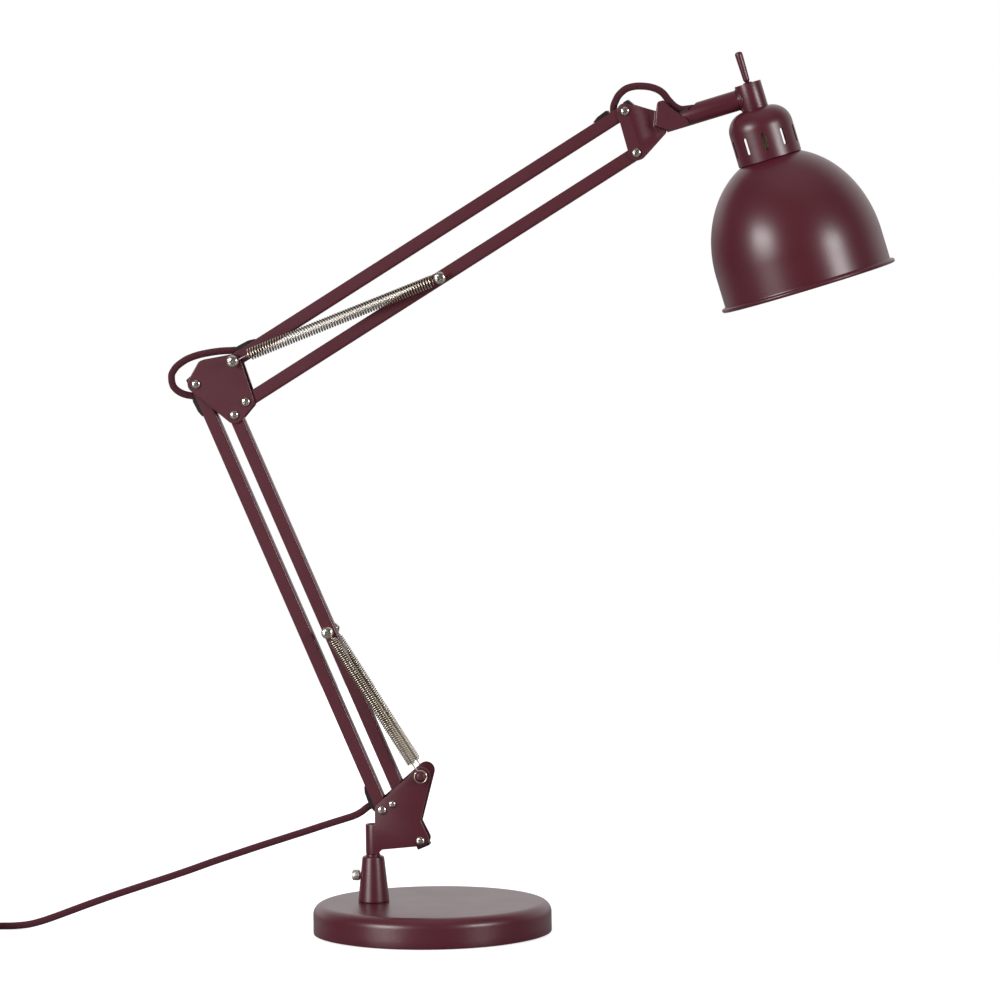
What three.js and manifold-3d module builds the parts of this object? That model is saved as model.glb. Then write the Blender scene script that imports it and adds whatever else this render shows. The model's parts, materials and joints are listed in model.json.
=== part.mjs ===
// Architect desk lamp: weighted round base, swivelling post, two sprung parallelogram arms and a shade.
// Millimetres, +Z up. The origin is under the centre of the base. The arms lie in the plane y = 0 and reach
// from the post, on the -X side of the base, to the shade on the +X side. -Y is the front.
import * as THREE from "three";
import { mergeVertices } from "three/addons/utils/BufferGeometryUtils.js";
import Module from "manifold-3d";

const wasm = await Module();
wasm.setup();

// ---- driving dimensions -------------------------------------------------------------------------------
const GAP = 0.3; // running clearance between neighbouring pieces

const BASE = { radius: 100, height: 26, edge: 9, wall: 1.6, lift: 1 };
const PAD = { radius: 96, thickness: 2.2 };
const POST = { x: -49.5, radius: 6, foot: 38.5, top: 91.5 };
const SOCKET = { top: 64.5, topRadius: 8.2, footRadius: 13, screwHeight: 48.3 };

const BAR = { length: 389, width: 10, depth: 11.2, wall: 1.2, pastPivot: 1.5 };
const LOWER_LEAN = 23; // degrees that the lower arm leans back from upright
const UPPER_RISE = 31.8; // degrees that the upper arm rises above level
const HEAD_TILT = 16.3; // degrees that the lamp head is turned up from level
const SHEET = { inner: 5.7, thickness: 1.6 }; // joint plates on both sides of the bars

const LOWER_REAR_FOOT = [-40.4, 104.25]; // pivots on the base bracket, as x, z
const LOWER_FRONT_FOOT = [-8.3, 78.35];
const LOWER_SPRING_FOOT = [-6.5, 133.1];
const STOP_SCREW = [-31.6, 109.3];
const ELBOW_TO_UPPER_TOP = [32.7, 19.55]; // from the lower rear bar's top pivot
const ELBOW_TO_UPPER_BOTTOM = [42.0, -14.85];
const HEAD_FROM_TOP_PIVOT = [104.2, 11.0]; // from the upper top bar's far pivot to the head axes' crossing

const SCREW = { headRadius: 3.8, headHeight: 2.7, shank: 2 };
const SPRING_SCREW = { headRadius: 5, headHeight: 3.4, shank: 2.4 };
const SPRING_SIDE = 13.5; // distance of each spring's axis from the middle plane
const STEPS_PER_TURN = 6; // of a spring's coil
const LOWER_SPRING = { radius: 3.6, wire: 1.2, barDistance: 191.2, turns: 12, head: 12.5, tail: 8.5 };
const UPPER_SPRING = { radius: 4.6, wire: 1.3, barDistance: 195.5, turns: 12, head: 13, tail: 8 };

const CORD = { radius: 3, clear: 10 }; // clear: distance from a bar's pivots to the cord in its channel
const COIL = { centre: [-411, -43], inner: 22, outer: 46, height: 11.2 };
const PLUG = { length: 36, width: 35, thickness: 13.6, relief: 24, place: [-417, -19, 18.4] };
const PRONG = { length: 19, radius: 2, spacing: 18 };
const TUBE = { radius: 8.5, wall: 1.5, start: -75, end: -11.2 };
const COLLAR = { radius: 11.15, top: 11.1, bottom: -10.6 };
const CAP = { radius: 26.8, bottom: -53.9, shoulder: 16.7, wall: 1.5 };
const SLOT = { count: 10, length: 16.5, width: 4, height: -38.9, bearing: 5.9 };
const HOLDER = {
  top: -13.3, housing: 12.4, shoulder: -48, skirt: 19.5, mouth: -78, bore: 13.6,
  ring: { radius: 22.6, top: -58 },
};
const DOME = { radius: 71, height: 87.5, centre: -135.6, straight: -161, wall: 1.2, bead: 1.9, rim: 74.35 };

const turn = THREE.MathUtils.degToRad;
const LOWER_UP = [-Math.sin(turn(LOWER_LEAN)), Math.cos(turn(LOWER_LEAN))]; // along the lower bars
const UPPER_OUT = [Math.cos(turn(UPPER_RISE)), Math.sin(turn(UPPER_RISE))]; // along the upper bars
const along = (point, direction, distance) => [
  point[0] + direction[0] * distance,
  point[1] + direction[1] * distance,
];
const plus = (a, b) => [a[0] + b[0], a[1] + b[1]];

const LOWER_REAR_TOP = along(LOWER_REAR_FOOT, LOWER_UP, BAR.length);
const LOWER_FRONT_TOP = along(LOWER_FRONT_FOOT, LOWER_UP, BAR.length);
const UPPER_TOP_FOOT = plus(LOWER_REAR_TOP, ELBOW_TO_UPPER_TOP);
const UPPER_BOTTOM_FOOT = plus(LOWER_REAR_TOP, ELBOW_TO_UPPER_BOTTOM);
const UPPER_TOP_END = along(UPPER_TOP_FOOT, UPPER_OUT, BAR.length);
const UPPER_BOTTOM_END = along(UPPER_BOTTOM_FOOT, UPPER_OUT, BAR.length);
const HEAD = plus(UPPER_TOP_END, HEAD_FROM_TOP_PIVOT);
const LOWER_SPRING_BAR_END = along(LOWER_FRONT_FOOT, LOWER_UP, LOWER_SPRING.barDistance);
const UPPER_SPRING_BAR_END = along(UPPER_BOTTOM_FOOT, UPPER_OUT, UPPER_SPRING.barDistance);

// ---- materials ----------------------------------------------------------------------------------------
const PAINT = { color: 0x5a2d37, roughness: 0.45, metalness: 0.1 };
const NICKEL = { color: 0xc9c2b6, roughness: 0.28, metalness: 0.9 };
const BLACK = { color: 0x151515, roughness: 0.6, metalness: 0 };
const IRON = { color: 0x45474a, roughness: 0.7, metalness: 0.6 };
const CLOTH = { color: 0x4e2029, roughness: 0.9, metalness: 0 };
const PORCELAIN = { color: 0x4a4433, roughness: 0.5, metalness: 0 };

const lamp = new THREE.Group();
lamp.name = "architect_desk_lamp";

// ---- solids -------------------------------------------------------------------------------------------
// A closed three.js geometry as a solid that can be joined and cut.
function solidOf(geometry) {
  const bare = geometry.clone();
  bare.deleteAttribute("normal");
  bare.deleteAttribute("uv");
  const merged = mergeVertices(bare, 1e-4);
  const corners = merged.index.array;
  const whole = [];
  for (let i = 0; i < corners.length; i += 3) {
    const [a, b, c] = corners.slice(i, i + 3);
    if (a !== b && b !== c && c !== a) whole.push(a, b, c);
  }
  return new wasm.Manifold(
    new wasm.Mesh({
      numProp: 3,
      vertProperties: new Float32Array(merged.attributes.position.array),
      triVerts: new Uint32Array(whole),
    }),
  );
}

const asSolid = (thing) => (thing.isBufferGeometry ? solidOf(thing) : thing);
const joined = (...things) => things.map(asSolid).reduce((made, other) => made.add(other));
const cut = (first, ...others) =>
  others.map(asSolid).reduce((made, other) => made.subtract(other), asSolid(first));
const common = (first, second) => asSolid(first).intersect(asSolid(second));

// Adds one named piece to a group, at a place in that group's own frame.
function piece(parent, name, thing, look, place = [0, 0, 0]) {
  const { vertProperties, triVerts } = asSolid(thing).getMesh();
  const shared = new THREE.BufferGeometry();
  shared.setAttribute("position", new THREE.BufferAttribute(vertProperties, 3));
  shared.setIndex(new THREE.BufferAttribute(triVerts, 1));
  const flat = shared.toNonIndexed();
  flat.computeVertexNormals();
  const mesh = new THREE.Mesh(flat, new THREE.MeshStandardMaterial({ ...look, name }));
  mesh.name = name;
  mesh.position.set(...place);
  parent.add(mesh);
}

// A frame at a point of the arm plane, its +X along a direction and its +Z to the left of it.
function frameAt(parent, [x, z], [dx, dz]) {
  const group = new THREE.Group();
  group.position.set(x, 0, z);
  group.rotation.y = -Math.atan2(dz, dx);
  parent.add(group);
  return group;
}

// A frame at the far end of a bar, facing back along it, its +Z unchanged.
function farFrame(parent, distance) {
  const group = new THREE.Group();
  group.position.set(distance, 0, 0);
  group.rotation.z = Math.PI;
  parent.add(group);
  return group;
}

const block = (size, centre) => new THREE.BoxGeometry(...size).translate(...centre);

// Round bars along Z, along X and, through a point of the arm plane, along Y.
const upright = (radius, from, to, sides) =>
  new THREE.CylinderGeometry(radius, radius, to - from, sides)
    .rotateX(Math.PI / 2)
    .translate(0, 0, (from + to) / 2);
const level = (radius, from, to, sides, endRadius = radius) =>
  new THREE.CylinderGeometry(endRadius, radius, to - from, sides)
    .rotateZ(-Math.PI / 2)
    .translate((from + to) / 2, 0, 0);
const pin = ([x, z], radius, yFrom, yTo, sides = 12) =>
  new THREE.CylinderGeometry(radius, radius, yTo - yFrom, sides).translate(x, (yFrom + yTo) / 2, z);

const shapeOf = (outline) => new THREE.Shape(outline.map(([x, y]) => new THREE.Vector2(x, y)));

// A flat outline, given as x, z, made solid between two y planes.
const slab = (outline, yFrom, yTo) =>
  new THREE.ExtrudeGeometry(shapeOf(outline), { depth: yTo - yFrom, bevelEnabled: false })
    .rotateX(Math.PI / 2)
    .translate(0, yTo, 0);

// A flat outline, given as x, y, made solid between two heights.
const plate = (outline, from, to) =>
  new THREE.ExtrudeGeometry(shapeOf(outline), { depth: to - from, bevelEnabled: false })
    .translate(0, 0, from);

// Points on a circle round a point.
function lobe([x, y], radius, sides = 16) {
  return Array.from({ length: sides }, (_, i) => {
    const a = (2 * Math.PI * i) / sides;
    return [x + radius * Math.cos(a), y + radius * Math.sin(a)];
  });
}

// The outline of a tight band round some circles.
function hullOf(...lobes) {
  const points = lobes.flat().sort((a, b) => a[0] - b[0] || a[1] - b[1]);
  const turnsLeft = (a, b, c) => (b[0] - a[0]) * (c[1] - a[1]) - (b[1] - a[1]) * (c[0] - a[0]) > 1e-9;
  const side = (list) => {
    const chain = [];
    for (const p of list) {
      while (chain.length > 1 && !turnsLeft(chain.at(-2), chain.at(-1), p)) chain.pop();
      chain.push(p);
    }
    return chain.slice(0, -1);
  };
  return [...side(points), ...side([...points].reverse())];
}

// A solid of revolution about Z, from a closed profile of radius, height points in either order.
function turned(profile, sides) {
  const area = profile.reduce((sum, [r, z], i) => {
    const [r2, z2] = profile[(i + 1) % profile.length];
    return sum + r * z2 - r2 * z;
  }, 0);
  const ordered = area > 0 ? profile : [...profile].reverse();
  const closed = [...ordered, ordered[0]].map(([r, z]) => new THREE.Vector2(r, z));
  return new THREE.LatheGeometry(closed, sides).rotateX(Math.PI / 2);
}

// Points on a quarter or other part of an ellipse, for the rounded stretches of a profile.
function arc(centre, radiusA, radiusB, fromDegrees, toDegrees, steps) {
  return Array.from({ length: steps + 1 }, (_, i) => {
    const a = turn(fromDegrees + ((toDegrees - fromDegrees) * i) / steps);
    return [centre[0] + radiusA * Math.cos(a), centre[1] + radiusB * Math.sin(a)];
  });
}

// A round wire or cord along a smooth curve through points.
function tube(points, radius, steps, sides) {
  const curve = new THREE.CatmullRomCurve3(points.map((p) => new THREE.Vector3(...p)));
  curve.arcLengthDivisions = steps * 6;
  const options = { steps, bevelEnabled: false, extrudePath: curve };
  return new THREE.ExtrudeGeometry(shapeOf(lobe([0, 0], radius, sides)), options);
}

// ---- base ---------------------------------------------------------------------------------------------
const post = new THREE.Group();
post.position.x = POST.x;
lamp.add(post);

function baseCover() {
  const { radius, height, edge, wall, lift } = BASE;
  const profile = [
    [0, height],
    ...arc([radius - edge, height - edge], edge, edge, 90, 0, 4),
    [radius, lift],
    [radius - wall, lift],
    ...arc([radius - edge, height - edge], edge - wall, edge - wall, 0, 90, 3),
    [0, height - wall],
  ];
  const screwHole = upright(3.4, 0, height + 1, 12).translate(POST.x, 0, 0);
  piece(lamp, "base_cover", cut(turned(profile, 40), screwHole), PAINT);
}

function baseWeight() {
  const radius = BASE.radius - BASE.wall - 3 * GAP;
  const top = BASE.height - BASE.wall - 2 * GAP;
  const edge = BASE.edge - BASE.wall;
  const bottom = PAD.thickness + GAP;
  const profile = [
    [0, bottom],
    [radius, bottom],
    ...arc([radius - edge, top - edge], edge, edge, 0, 90, 2),
    [0, top],
  ];
  const screwHole = upright(3.4, 0, top + 1, 12).translate(POST.x, 0, 0);
  const counterbore = upright(7, 0, 9, 12).translate(POST.x, 0, 0);
  piece(lamp, "base_weight", cut(turned(profile, 32), screwHole, counterbore), IRON);
}

function basePad() {
  piece(lamp, "base_pad", upright(PAD.radius, 0, PAD.thickness, 36), BLACK);
}

// The cone on the base that the post stands in.
function postSocket() {
  const foot = BASE.height + GAP;
  const profile = [
    [0, foot],
    [SOCKET.footRadius, foot],
    [SOCKET.footRadius, foot + 1.2],
    [SOCKET.topRadius + 0.2, SOCKET.top - 1.6],
    [SOCKET.topRadius - 1.2, SOCKET.top],
    [POST.radius + GAP, SOCKET.top],
    [POST.radius + GAP, POST.foot - GAP],
    [0, POST.foot - GAP],
  ];
  const screwHole = upright(3.3, foot - 1, foot + 9, 12);
  const clampHole = level(2.2, -20, 0, 12).translate(0, 0, SOCKET.screwHeight);
  piece(post, "post_socket", cut(turned(profile, 24), screwHole, clampHole), PAINT);
}

// The hexagon-socket screw that holds the cone down, from below.
function socketScrew() {
  const profile = [[0, 4], [5.4, 4], [6, 4.6], [6, 8.7], [3, 8.7], [3, 34], [0, 34]];
  piece(post, "socket_screw", cut(turned(profile, 12), upright(2.9, 3, 5.6, 6)), NICKEL);
}

// The knurled screw that clamps the post at the bearing it is set to.
function thumbScrew() {
  const teeth = 16;
  const knurl = Array.from({ length: 2 * teeth }, (_, i) => {
    const a = (Math.PI * i) / teeth;
    const r = i % 2 ? 4.2 : 4.65;
    return [r * Math.cos(a), r * Math.sin(a)];
  });
  const knob = turned([[0, 0], [3.9, 0], [4.2, 0.5], [4.2, 5.1], [3.9, 5.6], [0, 5.6]], 16);
  const screw = joined(knob, plate(knurl, 0.4, 5.1), upright(1.9, 5.2, 11.4, 10));
  const lying = new THREE.Group();
  lying.position.set(-17.7, 0, SOCKET.screwHeight);
  lying.rotation.y = Math.PI / 2;
  post.add(lying);
  piece(lying, "thumb_screw", screw, NICKEL);
}

// ---- fasteners ----------------------------------------------------------------------------------------
// A cross-head screw through a joint from the front, with its nut on the back.
function crossScrew(name, [x, z], { headRadius, headHeight, shank }, headBack, nutFront) {
  const r = headRadius;
  const h = headHeight;
  const thickness = 0.75 * r;
  const end = nutFront - headBack + thickness + 0.8;
  const headProfile = [[0, -h], [0.66 * r, -0.86 * h], [r, -0.1 * h], [r, 0]];
  const profile = [...headProfile, [shank, 0], [shank, end], [0, end]];
  const nut = upright(1.02 * r, nutFront - headBack, nutFront - headBack + thickness, 6);
  const depth = 0.55 * h;
  const slots = [20, 110].map((a) =>
    block([1.15 * r, 0.24 * r, depth], [0, 0, depth / 2 - h - 0.05]).rotateZ(turn(a)),
  );
  const across = new THREE.Group();
  across.position.set(x, headBack, z);
  across.rotation.x = -Math.PI / 2;
  lamp.add(across);
  piece(across, name, joined(cut(turned(profile, 9), ...slots), nut), NICKEL);
}

const SHEET_OUTER = SHEET.inner + SHEET.thickness;
const jointScrew = (name, point) =>
  crossScrew(name, point, SCREW, -SHEET_OUTER - 0.05, SHEET_OUTER + 0.05);

// The long screws that carry one spring eye on each side.
const springScrew = (name, point) =>
  crossScrew(name, point, SPRING_SCREW, -SPRING_SIDE - 2.7, SPRING_SIDE + 1.4);

// ---- post and base bracket ----------------------------------------------------------------------------
// One side of the bracket: the arm that carries the spring, and the foot that carries the two bars.
function bracketSide(earRise, edgeRise, yFrom, yTo) {
  const waist = [-13, 94];
  const corner = [-41.6, 73];
  const ear = plus(LOWER_SPRING_FOOT, [0.6 * earRise, earRise]);
  const leftFoot = [LOWER_REAR_FOOT[0] - 3.8, 75];
  const rearFoot = lobe(LOWER_REAR_FOOT, 6.2 + edgeRise);
  const arm = hullOf(rearFoot, lobe(ear, 7.2), lobe(waist, 4.6), lobe(leftFoot, 2.4));
  const frontFoot = lobe(LOWER_FRONT_FOOT, 7.5);
  const foot = hullOf(lobe(waist, 4.6), frontFoot, lobe(corner, 2.3), lobe(leftFoot, 2.4));
  return joined(slab(arm, yFrom, yTo), slab(foot, yFrom, yTo));
}

// The stud on the outside of an ear, with a collar at its root, that a spring's ring hangs on.
function springStud(side) {
  const reach = SPRING_SIDE + 2.2 - SHEET.inner;
  const profile = [[0, 0], [4.4, 0], [4.4, 5.6], [3.6, 6.6], [3.6, reach - 1.4], [2, reach], [0, reach]];
  return turned(profile, 12)
    .rotateX((-side * Math.PI) / 2)
    .translate(LOWER_SPRING_FOOT[0], side * (SHEET.inner + 0.4), LOWER_SPRING_FOOT[1]);
}

function postBracket() {
  const { radius, foot, top, x } = POST;
  const profile = [[0, foot], [radius - 0.8, foot], [radius, foot + 0.8], [radius, top - 0.6],
    [radius - 0.6, top], [0, top]];
  const web = block([5.5, 2 * SHEET.inner + 0.4, 17], [-44.6, 0, 80.5]);
  const weldBead = (side) => upright(1, 72, 89, 8).translate(-46.6, side * (SHEET.inner + 0.3), 0);
  const holes = [LOWER_REAR_FOOT, LOWER_FRONT_FOOT, STOP_SCREW].map((p) => pin(p, 2.3, -20, 20, 9));
  const welded = joined(
    turned(profile, 20).translate(x, 0, 0),
    bracketSide(0, 0, -SHEET_OUTER, -SHEET.inner),
    bracketSide(3.5, 1.6, SHEET.inner, SHEET_OUTER),
    web, weldBead(-1), weldBead(1), springStud(-1), springStud(1),
  );
  piece(lamp, "post_bracket", cut(welded, ...holes), PAINT);
}

// ---- bars and their inserts ---------------------------------------------------------------------------
// A U-channel along +X from pivot to pivot, open towards +Z, with a hole at each pivot and spring screw.
function channel(screwAt) {
  const { length, width, depth, wall, pastPivot } = BAR;
  const size = length + 2 * pastPivot;
  const outside = block([size, width, depth], [length / 2, 0, 0]);
  const inside = block([size + 2, width - 2 * wall, depth], [length / 2, 0, wall]);
  const holes = [0, length, ...screwAt].map((x) => pin([x, 0], 2.8, -20, 20, 8));
  return cut(outside, inside, ...holes);
}

// The plastic plug in a bar's end: a block round the pivot and a cap over the cut end of the channel.
function endPlug(parent, name, capRadius) {
  const start = -BAR.pastPivot - GAP;
  const low = BAR.wall + GAP - BAR.depth / 2;
  const inWidth = BAR.width - 2 * (BAR.wall + GAP);
  const core = block([4 - start, inWidth, 4.2 - low], [(4 + start) / 2, 0, (4.2 + low) / 2]);
  const end = block([6, BAR.width, BAR.depth], [start - 3, 0, 0]);
  const cap = common(end, pin([0, 0], capRadius, -20, 20, 16));
  piece(parent, name, cut(joined(core, cap), pin([0, 0], 2.8, -20, 20, 8)), BLACK);
}

// The clip over an open channel that keeps the cord in, its thick end where the cord comes out.
function cordClip(parent, name, from) {
  const edge = BAR.depth / 2;
  const inWidth = BAR.width - 2 * (BAR.wall + GAP);
  const key = block([10, inWidth, 2.4], [from + 8, 0, edge - 0.7]);
  const outline = [[from, edge + GAP], [from + 15, edge + GAP], [from + 15, edge + GAP + 0.5],
    [from + 10, edge + 2.6], [from + 1.5, edge + 3], [from, edge + 2.2]];
  piece(parent, name, joined(slab(outline, -BAR.width / 2, BAR.width / 2), key), BLACK);
}

// The straight run of the cord inside a bar's open channel.
function cordInBar(parent, name) {
  const depth = BAR.wall + GAP + CORD.radius - BAR.depth / 2;
  const run = level(CORD.radius, CORD.clear, BAR.length - CORD.clear, 12);
  piece(parent, name, run.translate(0, 0, depth), CLOTH);
}

// A bar from its first pivot, with its plugs. clips gives the distance of its cord clips from the pivots.
function bar(name, foot, direction, { screwAt = [], clips = [], footCap = BAR.depth / 2 }) {
  const near = frameAt(lamp, foot, direction);
  const far = farFrame(near, BAR.length);
  piece(near, `${name}_bar`, channel(screwAt), PAINT);
  endPlug(near, `${name}_plug_foot`, footCap);
  endPlug(far, `${name}_plug_end`, BAR.depth / 2);
  if (clips.length) {
    const arm = name.split("_")[0];
    cordClip(near, `cord_clip_${arm}_foot`, clips[0]);
    cordClip(far, `cord_clip_${arm}_end`, clips[1]);
    cordInBar(near, `cord_in_${arm}_bar`);
  }
}

// ---- springs ------------------------------------------------------------------------------------------
// One balance spring along +X from its anchor: a ring, a leg and the coil, and the eye on the bar's screw.
function spring(names, anchor, screw, size, side, ringRadius) {
  const reach = Math.hypot(screw[0] - anchor[0], screw[1] - anchor[1]);
  const frame = frameAt(lamp, anchor, [screw[0] - anchor[0], screw[1] - anchor[1]]);
  const place = [0, side, 0];
  const flat = ([x, z]) => [x, 0, z];
  const ring = arc([0, 0], ringRadius, ringRadius, 40, 330, 10).map(flat);
  const leg = [size.head - 2.5, 0, 0.6];
  const steps = STEPS_PER_TURN * size.turns;
  const coilLength = reach - size.head - size.tail;
  const coil = Array.from({ length: steps + 1 }, (_, i) => {
    const a = (2 * Math.PI * i) / STEPS_PER_TURN;
    return [size.head + (coilLength * i) / steps, size.radius * Math.sin(a), size.radius * Math.cos(a)];
  });
  piece(frame, names[0], tube([...ring, leg, ...coil], size.wire / 2, steps + 14, 4), NICKEL, place);

  const eyeRadius = SPRING_SCREW.shank + 2 * GAP + size.wire / 2;
  const eye = arc([reach, 0], eyeRadius, eyeRadius, -140, 150, 10).map(flat);
  const tail = [reach - size.tail + 1.6, 0, 0];
  piece(frame, names[1], tube([...eye, tail], size.wire / 2, 14, 4), NICKEL, place);
}

// ---- elbow --------------------------------------------------------------------------------------------
function elbowPlates() {
  const corner = [LOWER_REAR_TOP[0] + 6, LOWER_REAR_TOP[1] + 15];
  const outline = hullOf(lobe(LOWER_REAR_TOP, 7.3), lobe(corner, 5), lobe(UPPER_TOP_FOOT, 5.2),
    lobe(UPPER_BOTTOM_FOOT, 7.1), lobe(LOWER_FRONT_TOP, 7.5));
  const holes = [LOWER_REAR_TOP, LOWER_FRONT_TOP, UPPER_BOTTOM_FOOT].map((p) => pin(p, 2.3, -20, 20, 9));
  const bigHole = pin(UPPER_TOP_FOOT, SPRING_SCREW.shank + GAP, -20, 20, 9);
  const sheet = (yFrom, yTo) => cut(slab(outline, yFrom, yTo), ...holes, bigHole);
  piece(lamp, "elbow_front_plate", sheet(-SHEET_OUTER, -SHEET.inner), PAINT);
  piece(lamp, "elbow_rear_plate", sheet(SHEET.inner, SHEET_OUTER), PAINT);
}

// ---- lamp head ----------------------------------------------------------------------------------------
// The head has its own frame: +X along its tube and -Z down the axis of the shade.
const head = frameAt(lamp, HEAD, [Math.cos(turn(HEAD_TILT)), Math.sin(turn(HEAD_TILT))]);

// A point of the arm plane in the head's frame.
function inHead([x, z]) {
  const [dx, dz] = [x - HEAD[0], z - HEAD[1]];
  const [c, s] = [Math.cos(turn(HEAD_TILT)), Math.sin(turn(HEAD_TILT))];
  return [dx * c + dz * s, -dx * s + dz * c];
}

// Two cheeks that reach from the arm's end pivots and bend outward to lap the sides of the head tube.
function headBracket() {
  const top = inHead(UPPER_TOP_END);
  const bottom = inHead(UPPER_BOTTOM_END);
  const lap = TUBE.radius - 0.4;
  const ends = [lobe(top, 6.6), lobe(bottom, 6.6)];
  const corner = (x, z) => lobe([x, z], 3, 12);
  const throughSlab = (...lobes) => slab(hullOf(...lobes), -20, 20);
  const cheek = joined(
    throughSlab(...ends),
    throughSlab(...ends, corner(-79, 7.5), corner(-79, -6.5)),
    throughSlab(corner(-73, 15.2), corner(-83, -4), corner(-58, -4.6), corner(-62, -1)),
  );
  const lapOuter = lap + SHEET.thickness;
  const bend = [
    [-130, SHEET.inner], [-93, SHEET.inner], [-83, lap], [-40, lap],
    [-40, lapOuter], [-83.3, lapOuter], [-93.3, SHEET_OUTER], [-130, SHEET_OUTER],
  ];
  const bent = (side) => plate(bend.map(([x, y]) => [x, side * y]), -40, 40);
  const barrel = turned(
    [[TUBE.radius - TUBE.wall, TUBE.start], [TUBE.radius, TUBE.start], [TUBE.radius, TUBE.end],
      [TUBE.radius - TUBE.wall, TUBE.end]],
    24,
  ).rotateY(Math.PI / 2);
  const mouth = [[-80, 4.2], [-52, 4.2], [-39, 12], [-80, 12]];
  const holes = [top, bottom].map((p) => pin(p, 2.3, -20, 20, 9));
  const made = joined(cut(barrel, slab(mouth, -20, 20)), common(cheek, bent(-1)), common(cheek, bent(1)));
  piece(head, "head_bracket", cut(made, ...holes), PAINT);
}

// The rubber lip that the cord passes over as it enters the tube.
function tubeGrommet() {
  const outline = [[-70, 1.5], [-56.5, 1.5], [-52.6, 4.5], [-52.6, 6.2], [-56.5, 5.6], [-70, 3.8]];
  const groove = level(CORD.radius + GAP, -75, -45, 20).translate(0, 0, 6.6);
  piece(head, "tube_grommet", cut(slab(outline, -5.2, 5.2), groove), BLACK);
}

// The upright collar that joins tube and shade: it turns on a hollow spigot inside the tube.
function collar() {
  const { radius, top, bottom } = COLLAR;
  const profile = [[0, bottom + GAP], [radius - 0.5, bottom + GAP], [radius, bottom + 0.8],
    [radius, top - 0.8], [radius - 0.8, top], [0, top]];
  const spigotRadius = TUBE.radius - TUBE.wall - GAP;
  const seat = cut(level(30, -16.9, -10.9, 12), level(spigotRadius, -18, -10, 16));
  const body = cut(joined(turned(profile, 24), level(TUBE.radius, -10.9, 0, 24)), seat);
  const nipple = upright(4.8, bottom - 6, bottom + 4, 14);
  const hollows = [
    upright(8.4, bottom + 2, top - 2, 16),
    level(4.2, -30, 0, 12),
    upright(3.3, bottom - 7, bottom + 7, 12),
    upright(4.1, top - 4, top + 2, 12),
  ];
  const spigot = level(spigotRadius, -24, 0, 16);
  piece(head, "head_collar", cut(joined(body, spigot, nipple), ...hollows), PAINT);
}

// The toggle switch: its body inside the collar and the lever that stands up from it.
function toggleSwitch() {
  const body = joined(block([10.4, 8, 9], [0, 0, 1.8]), upright(3.8, 5.7, 11.9, 14));
  const seat = new THREE.SphereGeometry(2.9, 12, 8).translate(0, 0, 10.4);
  piece(head, "switch_body", cut(body, seat), BLACK);
  const lever = [[0, 8.2], [1.6, 8.7], [2.3, 9.9], [1.7, 11.9], [2.7, 14], [3.25, COLLAR.top + 24.6],
    [2.9, COLLAR.top + 26.2], [1.6, COLLAR.top + 26.9], [0, COLLAR.top + 27.1]];
  piece(head, "switch_lever", turned(lever, 12), PAINT);
}

// The vented cap over the lampholder: upright slots let the heat out.
function shadeCap() {
  const { radius, bottom, shoulder, wall } = CAP;
  const top = COLLAR.bottom;
  const centre = [radius - shoulder, top - shoulder];
  const profile = [
    [5.1, top],
    ...arc(centre, shoulder, shoulder, 90, 0, 5),
    [radius, bottom],
    [radius - wall, bottom],
    ...arc(centre, shoulder - wall, shoulder - wall, 0, 90, 4),
    [5.1, top - wall],
  ];
  const half = (SLOT.length - SLOT.width) / 2;
  const slotEnd = (hand) => lobe([0, SLOT.height + hand * half], SLOT.width / 2, 6);
  const slot = hullOf(slotEnd(-1), slotEnd(1));
  const openings = Array.from({ length: SLOT.count }, (_, i) =>
    slab(slot, -radius - 5, -radius + 8).rotateZ(turn(SLOT.bearing + (360 * i) / SLOT.count)),
  );
  piece(head, "shade_cap", cut(turned(profile, 30), ...openings), PAINT);
}

// The spun dome, its neck inside the cap and a rolled bead round the rim.
function shade() {
  const { radius, height, centre, straight, wall, bead, rim } = DOME;
  const neck = CAP.radius - CAP.wall - GAP;
  const startHeight = CAP.bottom - GAP;
  const start = (Math.asin((startHeight - centre) / height) * 180) / Math.PI;
  const inside = (Math.asin((startHeight - wall - centre) / (height - wall)) * 180) / Math.PI;
  const beadCentre = [rim - bead, straight - bead];
  const profile = [
    [neck, startHeight + 5],
    [neck, startHeight],
    ...arc([0, centre], radius, height, start, 0, 7),
    [radius, straight],
    ...arc(beadCentre, bead, bead, 150, -150, 4),
    [radius - wall, straight - 1.2],
    ...arc([0, centre], radius - wall, height - wall, 0, inside, 5),
    [neck - wall, startHeight - wall],
    [neck - wall, startHeight + 5],
  ];
  piece(head, "shade", turned(profile, 36), PAINT);
}

// The screw lampholder: a narrow terminal housing inside the cap, and below it the wide threaded skirt with
// its shade ring, open downwards, with the centre contact at the bottom of the bore.
function lampholder() {
  const { top, housing, shoulder, skirt, mouth, bore, ring } = HOLDER;
  const seat = shoulder - 4;
  const profile = [
    [5.2, top], [housing - 3, top], [housing, top - 3], [housing, shoulder], [skirt, seat],
    [skirt, ring.top + 1], [ring.radius, ring.top], [ring.radius, ring.top - 3],
    [skirt + 0.9, ring.top - 4.5], [skirt, mouth], [skirt - 2.1, mouth], [bore, mouth + 2],
    [bore, seat - 0.5], [4.5, seat - 0.5], [4.5, seat - 3], [2.2, seat - 4.5], [0, seat - 4.5],
    [0, top - 12], [5.2, top - 12],
  ];
  piece(head, "lampholder", turned(profile, 18), PORCELAIN);
}

// ---- cord ---------------------------------------------------------------------------------------------
const inArmPlane = (points) => points.map(([x, z]) => [x, 0, z]);

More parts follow.
